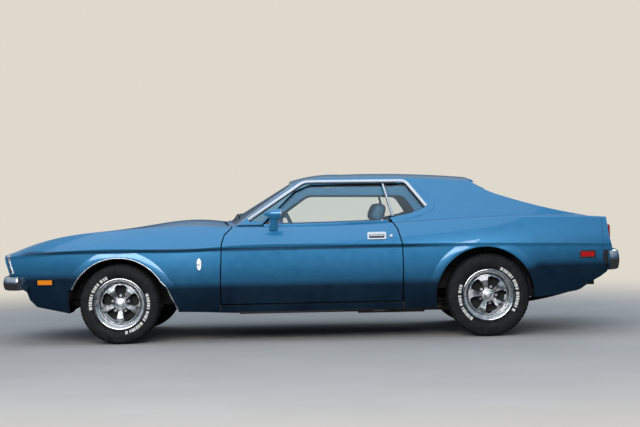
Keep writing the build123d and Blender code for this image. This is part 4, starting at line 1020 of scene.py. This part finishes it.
class COUPE_OT_nose(bpy.types.Operator):
    """Makes the bright nose mouldings, the grille mesh and the headlamps' insides"""

    bl_idname = "coupe.nose"
    bl_label = "Nose and lamps"

    def execute(self, context):
        low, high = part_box("grille")
        mid_z = (low.z + high.z) / 2
        opening = rounded_rectangle(high.y - low.y + 0.018, high.z - low.z + 0.018, 0.046, 8)
        path = [(AHEAD, y, mid_z + z) for y, z in opening]
        surround = closed_strip(("nose_panel",), path, (-1, 0, 0), half_round(0.014, 0.004))
        make_piece("grille_surround", surround, "chrome")
        corner = [(2.292, 0.680), (2.289, 0.640), (2.277, 0.590), (2.262, 0.545)]
        for side, name in SIDES:
            nodes = ("nose_panel", "fender_" + name)
            moulding = side_strip(nodes, corner, side, half_round(0.022, 0.006), 0.01)
            make_piece("nose_moulding_" + name, moulding, "bright_trim")
            self.bumper_end(side, name)
        self.mesh(high.x, mid_z)
        self.lamps(mid_z)
        return {"FINISHED"}

    def bumper_end(self, side, name):
        """The bumper's wrapped end and the painted corner that closes the fender's foot behind it."""
        tip_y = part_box("front_bumper")[1].y
        end = [(2.226, 0.520), (2.212, 0.515), (2.196, 0.470), (2.182, 0.432), (2.190, 0.421), (2.226, 0.419)]
        block = between_planes(end, side * (tip_y - 0.100), side * (tip_y - 0.006), 0.006)
        make_piece("bumper_end_" + name, block, "chrome")
        foot = [(2.206, 0.478), (2.135, 0.450), (2.122, 0.432), (2.118, 0.385), (2.133, 0.380),
                (2.147, 0.401), (2.178, 0.424), (2.196, 0.455)]
        panel = patch(("fender_" + name, "front_valance"), foot, side, 0.845)
        make_piece("nose_foot_" + name, panel, "body_paint")

    def mesh(self, front_x, mid_z):
        """Upright and level bars in front of the grille plate, between two bright rails."""
        upright = [rounded_box((0.004, 0.0022, 0.104), 8.0, 2, (front_x - 0.010, step * 0.0155, mid_z))
                   for step in range(-31, 32)]
        level = [rounded_box((0.004, 0.966, 0.0020), 12.0, 2, (front_x - 0.008, 0, mid_z + step * 0.0115))
                 for step in range(-4, 5)]
        rails = [rounded_box((0.008, 0.98, 0.004), 10.0, 4, (front_x - 0.008, 0, mid_z + rise))
                 for rise in (0.050, -0.050)]
        make_piece("grille_mesh", joined(upright + level), "black_trim")
        make_piece("grille_rails", joined(rails), "chrome")

    def lamps(self, mid_z):
        """Bright ring, bowl and bulb cover of each headlamp, behind its lens."""
        front_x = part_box("headlamps")[1].x
        ring = lathe([(0.0600, 0.002), (0.0615, 0.010), (0.0650, 0.013), (0.0700, 0.010), (0.0715, 0.0)], 64)
        bowl = lathe([(0.0005, -0.075), (0.020, -0.072), (0.038, -0.055), (0.050, -0.034), (0.056, -0.012),
                      (0.0585, -0.004)], 64)
        bulb = lathe([(0.0005, -0.030), (0.008, -0.032), (0.012, -0.040), (0.012, -0.068)], 24)
        ribs = lathe([(0.0005, 0.0045), (0.020, 0.0042), (0.040, 0.0028), (0.0590, 0.0)], 64)
        for side, name in SIDES:
            at = Matrix.Translation((front_x, side * 0.590, mid_z)) @ Matrix.Rotation(-math.pi / 2, 4, "Z")
            for label, part, chosen in (("ring_", ring, "chrome"),
                                        ("bowl_", joined([bowl, bulb]), "lamp_bright"),
                                        ("lens_", ribs, "lamp_ribbed")):
                make_piece("lamp_" + label + name, moved(part, at), chosen)


class COUPE_OT_tail(bpy.types.Operator):
    """Makes the lamp bezels and ribs, filler cap, end seams, the painted shade of the bumper gaps and arch
    liners
    """

    bl_idname = "coupe.tail"
    bl_label = "Tail"

    def execute(self, context):
        outline = rounded_rectangle(0.124, 0.162, 0.018, 4)
        bezels, ribs = [], []
        for side in (1, -1):
            for lamp in range(3):
                y = side * (0.360 + 0.130 * lamp)
                path = [(BEHIND, y + u, LAMP_Z + v) for u, v in outline]
                bezels.append(closed_strip(("tail_panel",), path, (1, 0, 0), half_round(0.010, 0.004)))
                place, _ = hit(("tail_lamps",), (BEHIND, y, LAMP_Z), (1, 0, 0))
                ribs += [rounded_box((0.004, 0.104, 0.004), 8.0, 2,
                                     (place.x - 0.0012, y, LAMP_Z + step * 0.015)) for step in range(-4, 5)]
        make_piece("tail_lamp_bezels", joined(bezels), "chrome")
        make_piece("tail_lamp_ribs", joined(ribs), "red_lens")
        place, _ = hit(("tail_panel",), (BEHIND, 0, LAMP_Z), (1, 0, 0))
        at = Matrix.Translation((place.x, 0, LAMP_Z)) @ Matrix.Rotation(math.pi / 2, 4, "Z")
        cap = lathe([(0.0005, 0.0035), (0.030, 0.0035), (0.034, 0.0015), (0.046, 0.0015), (0.050, 0.0065),
                     (0.0585, 0.0065), (0.0615, 0.0020), (0.0615, -0.004)], 72)
        make_piece("filler_cap_face", moved(cap, at), "chrome")
        edge = [(tail_split_x, z) for z in (0.862, 0.700, 0.520, 0.462)]
        # the wedge: a black patch beside the bumper's end, painted shade of the gap there
        wedge = [(-2.190, 0.628), (-2.236, 0.638), (-2.242, 0.586), (-2.238, 0.492), (-2.204, 0.515),
                 (-2.184, 0.571)]
        for side, name in SIDES:
            nodes = ("quarter_" + name, "tail_panel")
            seam = side_strip(nodes, edge, side, flat_bar(0.0011, -0.002, 0.0004))
            make_piece("end_seam_" + name, seam, "seal_rubber")
            make_piece("bumper_gap_shade_" + name, patch(nodes, wedge, side, 0.860, 0.0015), "black_trim")
            liner = rounded_box((0.13, 0.004, 0.16), 10.0, 4, (-1.705, side * 0.648, 0.358))
            make_piece("arch_liner_" + name, liner, "black_trim")
        return {"FINISHED"}


class COUPE_OT_glass_trim(bpy.types.Operator):
    """Makes the belt mouldings, rear window strips, wipers, painted shade in the cowl slots and mirror glass"""

    bl_idname = "coupe.glass_trim"
    bl_label = "Seals, wipers and mirrors"

    def execute(self, context):
        belt_from, belt_to = door_front_x - 0.325, door_rear_x + 0.095
        for side, name in SIDES:
            door = "door_" + name
            path = [(x, side * 0.822, ABOVE) for x in (belt_from, belt_to)]
            points, normals = cast_path((door,), path, (0, 0, -1), (belt_from - belt_to) / 40)
            moulding = sweep(points, normals, half_round(0.018, 0.020, 0.003, 4))
            make_piece("belt_moulding_" + name, moulding, "body_paint", door)
            self.mirror(side, name, door)
        self.rear_strips()
        self.wipers()
        return {"FINISHED"}

    def mirror(self, side, name, door):
        """The mirror's face and its bright edge."""
        at = Matrix.Translation((0.225, side * 0.905, 0.956)) @ Matrix.Rotation(math.pi / 2, 4, "Z")
        face = lathe([(0.0005, 0.0006), (0.0305, 0.0006), (0.0305, -0.001)], 48)
        ring = lathe([(0.0305, -0.001), (0.0305, 0.0022), (0.0340, 0.0026), (0.0358, 0.0010),
                      (0.0358, -0.003)], 48)
        make_piece("mirror_face_" + name, moved(face, at), "mirror", door)
        make_piece("mirror_ring_" + name, moved(ring, at), "chrome", door)

    def rear_strips(self):
        """Bright strips down the rear window's sides and across its top and foot."""
        low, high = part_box("rear_glass")
        foot_x, top_x = low.x + 0.020, high.x - 0.030
        corners = [(foot_x, -0.500, ABOVE), (top_x, -0.440, ABOVE), (top_x, 0.440, ABOVE),
                   (foot_x, 0.500, ABOVE)]
        strip = closed_strip(("rear_glass",), corners, (0, 0, -1), half_round(0.016, 0.005, 0.001), 0.04)
        make_piece("rear_window_trim", strip, "chrome")

    def wipers(self):
        """Two parked wiper arms with their blades, and dark plates of painted shade in the slots of the cowl.
        """
        blade = [(-0.003, 0.002), (-0.002, 0.012), (0.002, 0.012), (0.003, 0.002)]
        parts = []
        for foot_y, reach in ((0.34, 0.46), (-0.22, 0.42)):
            path = [(AHEAD, foot_y, 0.935), (AHEAD, foot_y - reach, 0.955)]
            points, normals = cast_path(("windshield",), path, (-1, 0, 0), 0.03)
            parts.append(sweep(points, normals, blade))
            middle = len(points) // 2
            pivot, _ = hit(("cowl",), (points[0].x + 0.055, foot_y + 0.02, ABOVE), (0, 0, -1))
            arm = [pivot + Vector((0, 0, 0.002)), points[0] + normals[0] * 0.02,
                   points[middle] + normals[middle] * 0.016]
            parts.append(sweep(arm, [Vector((0.4, 0, 1))] * 3, flat_bar(0.006, -0.002, 0.003)))
        make_piece("wipers", joined(parts), "black_trim")
        # thin dark plates laid on the cowl: painted shade inside its slots
        slots = []
        for step in range(-11, 12):
            place, normal = hit(("cowl",), (0.648, step * 0.030, ABOVE), (0, 0, -1))
            slots.append(moved(slab(rounded_rectangle(0.018, 0.030, 0.005, 3), 0.0008, 0.0003),
                               facing(place, normal, (1, 0, 0))))
        make_piece("cowl_slot_shades", joined(slots), "seal_rubber")


# pads of a front seat: name, size, centre (x, z), lean about Y in degrees
PADS = [
    ("cushion", (0.500, 0.440, 0.130), (-0.150, 0.392), 3.0),
    ("back", (0.120, 0.440, 0.420), (-0.468, 0.640), -9.0),
    ("headrest", (0.105, 0.250, 0.150), (-0.522, 0.950), -22.0),
]
# pads of the rear seat, with a whole centre
REAR_PADS = [
    ("rear_cushion_left", (0.330, 0.400, 0.130), (-0.915, 0.360, 0.430), 3.0),
    ("rear_cushion_right", (0.330, 0.400, 0.130), (-0.915, -0.360, 0.430), 3.0),
    ("rear_cushion_middle", (0.300, 0.260, 0.052), (-0.925, 0.0, 0.474), 0.0),
    ("rear_back", (0.090, 1.080, 0.290), (-1.190, 0.0, 0.655), -20.0),
]


class COUPE_OT_seats(bpy.types.Operator):
    """Makes the padded seats by cloth simulation, with their sewn channels and shells"""

    bl_idname = "coupe.seats"
    bl_label = "Seats"

    def execute(self, context):
        pads = []
        for side, name in SIDES:
            for label, size, (x, z), lean in PADS:
                pads.append(("seat_%s_%s" % (label, name), size, (x, side * SEAT_Y, z), lean, "front_seats"))
        for label, size, place, lean in REAR_PADS:
            pads.append((label, size, place, lean, "rear_seat"))
        first = {}
        for name, size, place, lean, node in pads:
            piece = self.pad(context, name, size, place, math.radians(lean))
            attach(piece, "body")
            first.setdefault(node, piece)
        for node, piece in first.items():
            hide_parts(node)
        self.shells()
        return {"FINISHED"}

    def pad(self, context, name, size, place, lean):
        """One crowned pad, swollen by a short cloth simulation whose moves are capped."""
        vertices, faces = rounded_box([c - 0.016 for c in size], 6.0, 12)
        mesh = bpy.data.meshes.new(name)
        mesh.from_pydata([tuple(v) for v in vertices], [], faces)
        piece = bpy.data.objects.new(name, mesh)
        context.scene.collection.objects.link(piece)
        self.swell(context, piece, 0.009)
        self.channels(piece, size)
        piece.data.transform(Matrix.Translation(place) @ Matrix.Rotation(lean, 4, "Y"))
        piece.data.shade_smooth()
        piece.data.materials.clear()
        piece.data.materials.append(finishes["seat_vinyl"])
        return piece

    def swell(self, context, piece, cap):
        """Voxel remesh, pressure cloth for twenty frames, moves capped, one subdivision."""
        remesh = piece.modifiers.new("remesh", "REMESH")
        remesh.mode = "VOXEL"
        remesh.voxel_size = 0.0105
        self.settle(context, piece)
        start = [v.co.copy() for v in piece.data.vertices]
        cloth = piece.modifiers.new("cloth", "CLOTH")
        cloth.settings.use_pressure = True
        cloth.settings.uniform_pressure_force = 4.0
        cloth.settings.effector_weights.gravity = 0.0
        for frame_number in range(1, 21):
            context.scene.frame_set(frame_number)
        self.settle(context, piece)
        context.scene.frame_set(1)
        for vertex, before in zip(piece.data.vertices, start):
            move = vertex.co - before
            if move.length > cap:
                vertex.co = before + move.normalized() * cap
        smooth = piece.modifiers.new("smooth", "SUBSURF")
        smooth.levels = 1
        self.settle(context, piece)

    def settle(self, context, piece):
        """Applies the modifiers of a piece to its mesh."""
        evaluated = piece.evaluated_get(context.evaluated_depsgraph_get())
        mesh = bpy.data.meshes.new_from_object(evaluated)
        piece.modifiers.clear()
        piece.data = mesh

    def channels(self, piece, size):
        """Sewn channels along the middle of a wide pad, side by side across the car."""
        pitch, deepest, least_half = 0.048, 0.0050, 0.15
        flat = min(range(3), key=lambda axis: size[axis])
        across, along = 1, 2 - flat
        half = [c / 2 for c in size]
        if half[across] <= least_half:
            return
        for vertex in piece.data.vertices:
            co = vertex.co
            if abs(co[across]) < half[across] * 0.66 and abs(co[along]) < half[along] * 0.80:
                groove = abs(math.sin(math.pi * co[across] / pitch))
                co[flat] -= math.copysign(deepest * (1 - groove) ** 3, co[flat])

    def shells(self):
        """The plinths, shells, rails and headrest posts of the front seats, the rear base and shelf."""
        post = lathe([(0.0005, 0.0), (0.006, 0.0), (0.006, 0.06), (0.0005, 0.06)], 12)
        upright = Matrix.Rotation(math.pi / 2, 4, "X")
        for side, name in SIDES:
            y = side * SEAT_Y
            base = rounded_box((0.44, 0.40, 0.066), 10.0, 6, (-0.16, y, 0.294))
            shell = rounded_box((0.018, 0.42, 0.40), 8.0, 8, (-0.532, y, 0.635), -0.16)
            rails = [rounded_box((0.42, 0.030, 0.010), 10.0, 4, (-0.16, y + off, 0.2605))
                     for off in (-0.16, 0.16)]
            posts = [moved(post, Matrix.Translation((-0.520, y + off, 0.825)) @ upright)
                     for off in (-0.05, 0.05)]
            make_piece("seat_base_" + name, joined([base, shell]), "cabin_plastic")
            make_piece("seat_rails_" + name, joined(rails), "frame_steel")
            make_piece("headrest_posts_" + name, joined(posts), "chrome")
        shelf = [(-1.235, -0.56), (-1.235, 0.56), (-1.540, 0.56), (-1.540, -0.56)]
        make_piece("parcel_shelf", lying(shelf, 0.812, 0.820), "carpet")
        for side, name in SIDES:
            riser = rounded_box((0.125, 0.36, 0.10), 10.0, 6, (-0.8225, side * 0.36, 0.312))
            make_piece("rear_seat_base_" + name, riser, "cabin_plastic")


class COUPE_OT_cabin(bpy.types.Operator):
    """Makes the door cards, dials, wheel pad, mirror, visors, lever and carpet"""

    bl_idname = "coupe.cabin"
    bl_label = "Cabin"

    def execute(self, context):
        for side, name in SIDES:
            self.door_card(side, name)
            self.lining(side, name)
            carpet = [(-0.70, side * 0.150), (0.550, side * 0.150), (0.550, side * 0.700),
                      (-0.70, side * 0.700)]
            make_piece("carpet_" + name, lying(carpet, 0.2546, 0.2580, 0.001), "carpet")
        self.dials()
        self.wheel_pad()
        self.small_pieces()
        return {"FINISHED"}

    def lining(self, side, name):
        """Soft trim round the side windows on the inside: front pillar, roof side and rear quarter."""
        edge = round_path([(0.262, 0.900), (0.240, 0.947), (0.031, 1.092), (-0.704, 1.076), (-0.798, 0.936),
                           (-0.790, 0.890)], 0.04)
        back = round_path([(0.330, 0.900), (0.300, 0.965), (0.065, 1.150), (-0.760, 1.145), (-0.990, 1.000),
                           (-1.000, 0.890)], 0.04)
        depths = (0.007, 0.016, 0.020, 0.020, 0.018, 0.014, 0.004)
        wall = tree_of("roof", "quarter_" + name, "door_glass_" + name, "quarter_glass")
        vertices = []
        for near, far in zip(edge, back):
            for j, depth in enumerate(depths):
                x, z = Vector(near).lerp(Vector(far), (j / (len(depths) - 1)) ** 1.5)
                place = wall.ray_cast(Vector((x, 0, z)), Vector((0, side, 0)))[0]
                wall_y = abs(place.y) if place is not None else 0.735 - 0.62 * (z - 0.90)
                vertices.append(Vector((x, side * (wall_y - depth), z)))
        part = vertices, ring_faces(len(edge), len(depths), close_size=False)
        make_piece("window_lining_" + name, part, "headliner", sharp=60)

    def door_card(self, side, name):
        """Trim panel, armrest, bright strips and window crank on the inside of a door."""
        door, card_y, inward = "door_" + name, side * 0.7640, Vector((0, -side, 0))
        card = round_path([(0.40, 0.34), (0.40, 0.70), (0.34, 0.838), (-0.10, 0.842), (-0.60, 0.842),
                           (-0.60, 0.34)], 0.03)
        make_piece("door_card_" + name, between_planes(card, side * 0.7698, card_y), "seat_vinyl", door)
        arm = rounded_box((0.46, 0.052, 0.070), 5.0, 8, (-0.14, side * 0.738, 0.590))
        make_piece("armrest_" + name, arm, "cabin_plastic", door)
        bright = [sweep([Vector((x, card_y, z)) for x in (0.37, 0.10, -0.30, -0.58)], [inward] * 4,
                        half_round(0.010, 0.003, 0.001, 4)) for z in (0.455, 0.700)]
        bright.append(moved(lathe([(0.0005, 0.018), (0.012, 0.018), (0.017, 0.006), (0.020, 0.0)], 24),
                            facing(Vector((0.20, card_y, 0.520)), inward)))
        bright.append(rounded_box((0.012, 0.010, 0.110), 4.0, 4, (0.205, side * 0.744, 0.560), 0.3))
        bright.append(rounded_box((0.022, 0.030, 0.022), 2.5, 4, (0.220, side * 0.730, 0.612)))
        make_piece("door_bright_" + name, joined(bright), "chrome", door)

    def dials(self):
        """Plain round dials with ticks and needles across the dash, and the lid of the glove box."""
        def bar(length, radius, reach, lift, angle, power):
            turn = Matrix.Rotation(angle, 4, "Y") @ Matrix.Translation((radius * reach, lift, 0))
            return moved(rounded_box((radius * length, 0.001, radius * 0.05), power, 1), at @ turn)

        rings, discs, marks = [], [], []
        for y, z, radius in ((0.460, 0.725, 0.050), (0.300, 0.725, 0.050), (0.130, 0.722, 0.030),
                             (0.050, 0.722, 0.030), (-0.030, 0.722, 0.030)):
            at = facing(*hit(("dashboard",), (0.0, y, z), (1, 0, 0)))
            ring = lathe([(radius, -0.002), (radius, 0.007), (radius + 0.004, 0.009), (radius + 0.007, 0.006),
                          (radius + 0.007, -0.002)], 40)
            rings.append(moved(ring, at))
            discs.append(moved(lathe([(0.0005, 0.0012), (radius, 0.0012)], 40), at))
            for step in range(9):
                marks.append(bar(0.16, radius, 0.82, 0.0016, -math.radians(-40 + 260 * step / 8), 8.0))
            marks.append(bar(0.72, radius, 0.34, 0.0024, -2.4, 6.0))
        make_piece("dial_rings", joined(rings), "chrome")
        make_piece("dial_faces", joined(discs), "black_trim")
        make_piece("dial_marks", joined(marks), "tyre_white")
        at = facing(*hit(("dashboard",), (0.0, -0.380, 0.715), (1, 0, 0)))
        lid = slab(rounded_rectangle(0.300, 0.085, 0.010), 0.004)
        make_piece("glove_lid", moved(lid, at), "cabin_plastic")

    def wheel_pad(self):
        """The pad and the spoke inlays of the steering wheel."""
        hub, lean = Vector((0.124, 0.370, 0.790)), math.radians(24)
        toward = Vector((-math.cos(lean), 0, math.sin(lean)))
        at = facing(hub - toward * 0.004, toward)
        pad = lathe([(0.0005, 0.014), (0.030, 0.013), (0.044, 0.009), (0.050, 0.0)], 40)
        make_piece("wheel_pad", moved(pad, at), "cabin_plastic", "steering_wheel")
        spokes = [rounded_box((0.150, 0.004, 0.016), 6.0, 4, (sign * 0.112, -0.004, 0)) for sign in (1, -1)]
        make_piece("wheel_spoke_inlays", moved(joined(spokes), at), "chrome", "steering_wheel")

    def small_pieces(self):
        """Mirror, visors and gear lever."""
        place, _ = hit(("windshield",), (0.0, 0.0, 1.130), (1, 0, 0))
        head = Vector((place.x - 0.085, 0, 1.118))
        body = rounded_box((0.022, 0.240, 0.060), 3.5, 8, head)
        stem = sweep([place + Vector((-0.004, 0, 0)), head], [Vector((0, 1, 0))] * 2,
                     flat_bar(0.005, -0.005, 0.005))
        make_piece("cabin_mirror", joined([body, stem]), "black_trim")
        face = moved(slab(rounded_rectangle(0.220, 0.046, 0.010), 0.0012, 0.0004),
                     facing(head + Vector((-0.0108, 0, 0)), Vector((-1, 0, 0))))
        make_piece("cabin_mirror_face", face, "mirror")
        for side, name in SIDES:
            visor = rounded_box((0.150, 0.330, 0.014), 5.0, 6, (-0.030, side * 0.255, 1.152), 0.22)
            make_piece("visor_" + name, visor, "seat_vinyl")
        lever = [Vector((-0.06, 0, 0.56)), Vector((-0.075, 0, 0.64)), Vector((-0.10, 0, 0.70))]
        make_piece("gear_lever", sweep(lever, [Vector((0, 1, 0))] * 3, ellipse(0.010, 0.010, 8)), "chrome")
        knob = rounded_box((0.040, 0.040, 0.044), 2.4, 8, (-0.105, 0, 0.716))
        boot = moved(lathe([(0.060, 0.0), (0.040, 0.012), (0.020, 0.030), (0.008, 0.040)], 32),
                     Matrix.Translation((-0.065, 0, 0.5602)) @ Matrix.Rotation(math.pi / 2, 4, "X"))
        make_piece("gear_knob", joined([knob, boot]), "grip")


class COUPE_OT_stage(bpy.types.Operator):
    """Sets the floor, the light and the camera"""

    bl_idname = "coupe.stage"
    bl_label = "Stage"

    def execute(self, context):
        stage = settings("coupe_stage")
        scene = context.scene
        reach = 40.0
        mesh = bpy.data.meshes.new("floor")
        mesh.from_pydata([(x * reach, y * reach, 0) for x, y in ((-1, -1), (1, -1), (1, 1), (-1, 1))],
                         [], [(0, 1, 2, 3)])
        mesh.materials.append(self.floor_material())
        floor = bpy.data.objects.new("floor", mesh)
        scene.collection.objects.link(floor)
        scene.world = self.studio_world()
        for name, place, target, size, power in (
                ("top_light", (0.5, 1.0, 7.0), (0, 0, 0.5), (9.0, 6.0), 110),
                ("front_light", (2.0, 9.5, 4.8), (0.2, 0, 0.6), (9.0, 4.0), 720),
                ("back_light", (-6.0, -6.0, 4.0), (0, 0, 0.7), (5.0, 4.0), 140)):
            data = bpy.data.lights.new(name, "AREA")
            data.shape = "RECTANGLE"
            data.size, data.size_y = size
            data.energy = power
            lamp = bpy.data.objects.new(name, data)
            lamp.location = place
            lamp.rotation_euler = (Vector(target) - Vector(place)).to_track_quat("-Z", "Y").to_euler()
            scene.collection.objects.link(lamp)
        data = bpy.data.cameras.new("camera")
        data.lens = stage.lens
        data.sensor_width = 36.0
        data.clip_end = 200.0
        camera = bpy.data.objects.new("camera", data)
        sine, cosine = math.sin(stage.camera_roll), math.cos(stage.camera_roll)
        camera.matrix_world = Matrix(((-cosine, -sine, 0, stage.camera_x), (0, 0, 1, stage.camera_y),
                                      (-sine, cosine, 0, stage.camera_z), (0, 0, 0, 1)))
        scene.collection.objects.link(camera)
        scene.camera = camera
        scene.view_settings.view_transform = "Standard"
        return {"FINISHED"}

    def floor_material(self):
        """A pale floor that takes the shadow, fades out far away and mirrors dark in the paint."""
        material, tree, shader = shader_material("floor_pale", (0.50, 0.49, 0.46), 0.8, specular=0.2)
        tone = blend_colors(tree, spread(tree, object_noise(tree, 1.2), 0.0, 1.0),
                            (0.43, 0.405, 0.38), (0.47, 0.445, 0.42))
        tree.links.new(tone, shader.inputs["Base Color"])
        add_bump(tree, shader, object_noise(tree, 90.0), 0.15, 0.002)
        reach = add_node(tree, "VectorMath", {0: place_on(tree)}, "Value", operation="LENGTH")
        glow, dark = (add_node(tree, "Emission", {"Color": (*color, 1)}, "Emission")
                      for color in (BACKDROP, (0.035, 0.038, 0.042)))
        far = spread(tree, reach, 0, 1, 3.2, 9.0, "SMOOTHSTEP")
        faded = mix_shaders(tree, far, shader.outputs["BSDF"], glow)
        mirrored = mix_shaders(tree, add_node(tree, "LightPath", {}, "Is Glossy Ray"), faded, dark)
        tree.links.new(mirrored, tree.nodes["Material Output"].inputs["Surface"])
        return material

    def studio_world(self):
        """Pale behind the car, and for what the paint mirrors a sky that darkens to the horizon."""
        world = bpy.data.worlds.new("studio")
        world.use_nodes = True
        tree = world.node_tree
        light = tree.nodes["Background"]
        light.inputs["Strength"].default_value = 0.55
        up = add_node(tree, "SeparateXYZ", {"Vector": add_node(tree, "TexCoord", {}, "Generated")}, "Z")
        sky = color_ramp(tree, spread(tree, up, 0, 1, -1, 1), ((0.10, 0.105, 0.11), (0.50, 0.72, 1.0)),
                         ((0.50, (0.10, 0.12, 0.14)), (0.53, (0.09, 0.19, 0.33)), (0.66, (0.66, 0.80, 0.96))))
        tree.links.new(sky, light.inputs["Color"])
        seen = add_node(tree, "Background", {"Color": (*BACKDROP, 1), "Strength": 1.0}, "Background")
        mixed = mix_shaders(tree, add_node(tree, "LightPath", {}, "Is Camera Ray"),
                            light.outputs["Background"], seen)
        tree.links.new(mixed, tree.nodes["World Output"].inputs["Surface"])
        return world


OPERATORS = (
    COUPE_OT_finish_nodes, COUPE_OT_tyres, COUPE_OT_wheels, COUPE_OT_panels, COUPE_OT_window_trim,
    COUPE_OT_side_trim, COUPE_OT_nose, COUPE_OT_tail, COUPE_OT_glass_trim, COUPE_OT_seats, COUPE_OT_cabin,
    COUPE_OT_stage,
)


class COUPE_PT_panel(bpy.types.Panel):
    """Lists the steps that dress the car"""

    bl_label = "Coupe"
    bl_space_type = "VIEW_3D"
    bl_region_type = "UI"
    bl_category = "Coupe"

    def draw(self, context):
        for group in ("coupe_paint", "coupe_sizes", "coupe_stage"):
            box = self.layout.box()
            data = getattr(context.scene, group)
            for name in data.bl_rna.properties.keys():
                if name not in ("name", "rna_type"):
                    box.prop(data, name)
        for operator in OPERATORS:
            self.layout.operator(operator.bl_idname)


GROUPS = (("coupe_paint", CoupePaint), ("coupe_sizes", CoupeSizes), ("coupe_stage", CoupeStage))


def register():
    for name, group in GROUPS:
        bpy.utils.register_class(group)
        setattr(bpy.types.Scene, name, bpy.props.PointerProperty(type=group))
    for operator in OPERATORS:
        bpy.utils.register_class(operator)
    bpy.utils.register_class(COUPE_PT_panel)


def unregister():
    bpy.utils.unregister_class(COUPE_PT_panel)
    for operator in reversed(OPERATORS):
        bpy.utils.unregister_class(operator)
    for name, group in reversed(GROUPS):
        delattr(bpy.types.Scene, name)
        bpy.utils.unregister_class(group)


def main():
    """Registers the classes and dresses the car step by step."""
    register()
    bpy.ops.coupe.finish_nodes()
    bpy.ops.coupe.tyres()
    bpy.ops.coupe.wheels()
    bpy.ops.coupe.panels()
    bpy.ops.coupe.window_trim()
    bpy.ops.coupe.side_trim()
    bpy.ops.coupe.nose()
    bpy.ops.coupe.tail()
    bpy.ops.coupe.glass_trim()
    bpy.ops.coupe.seats()
    bpy.ops.coupe.cabin()
    bpy.ops.coupe.stage()


if __name__ == "__main__":
    main()
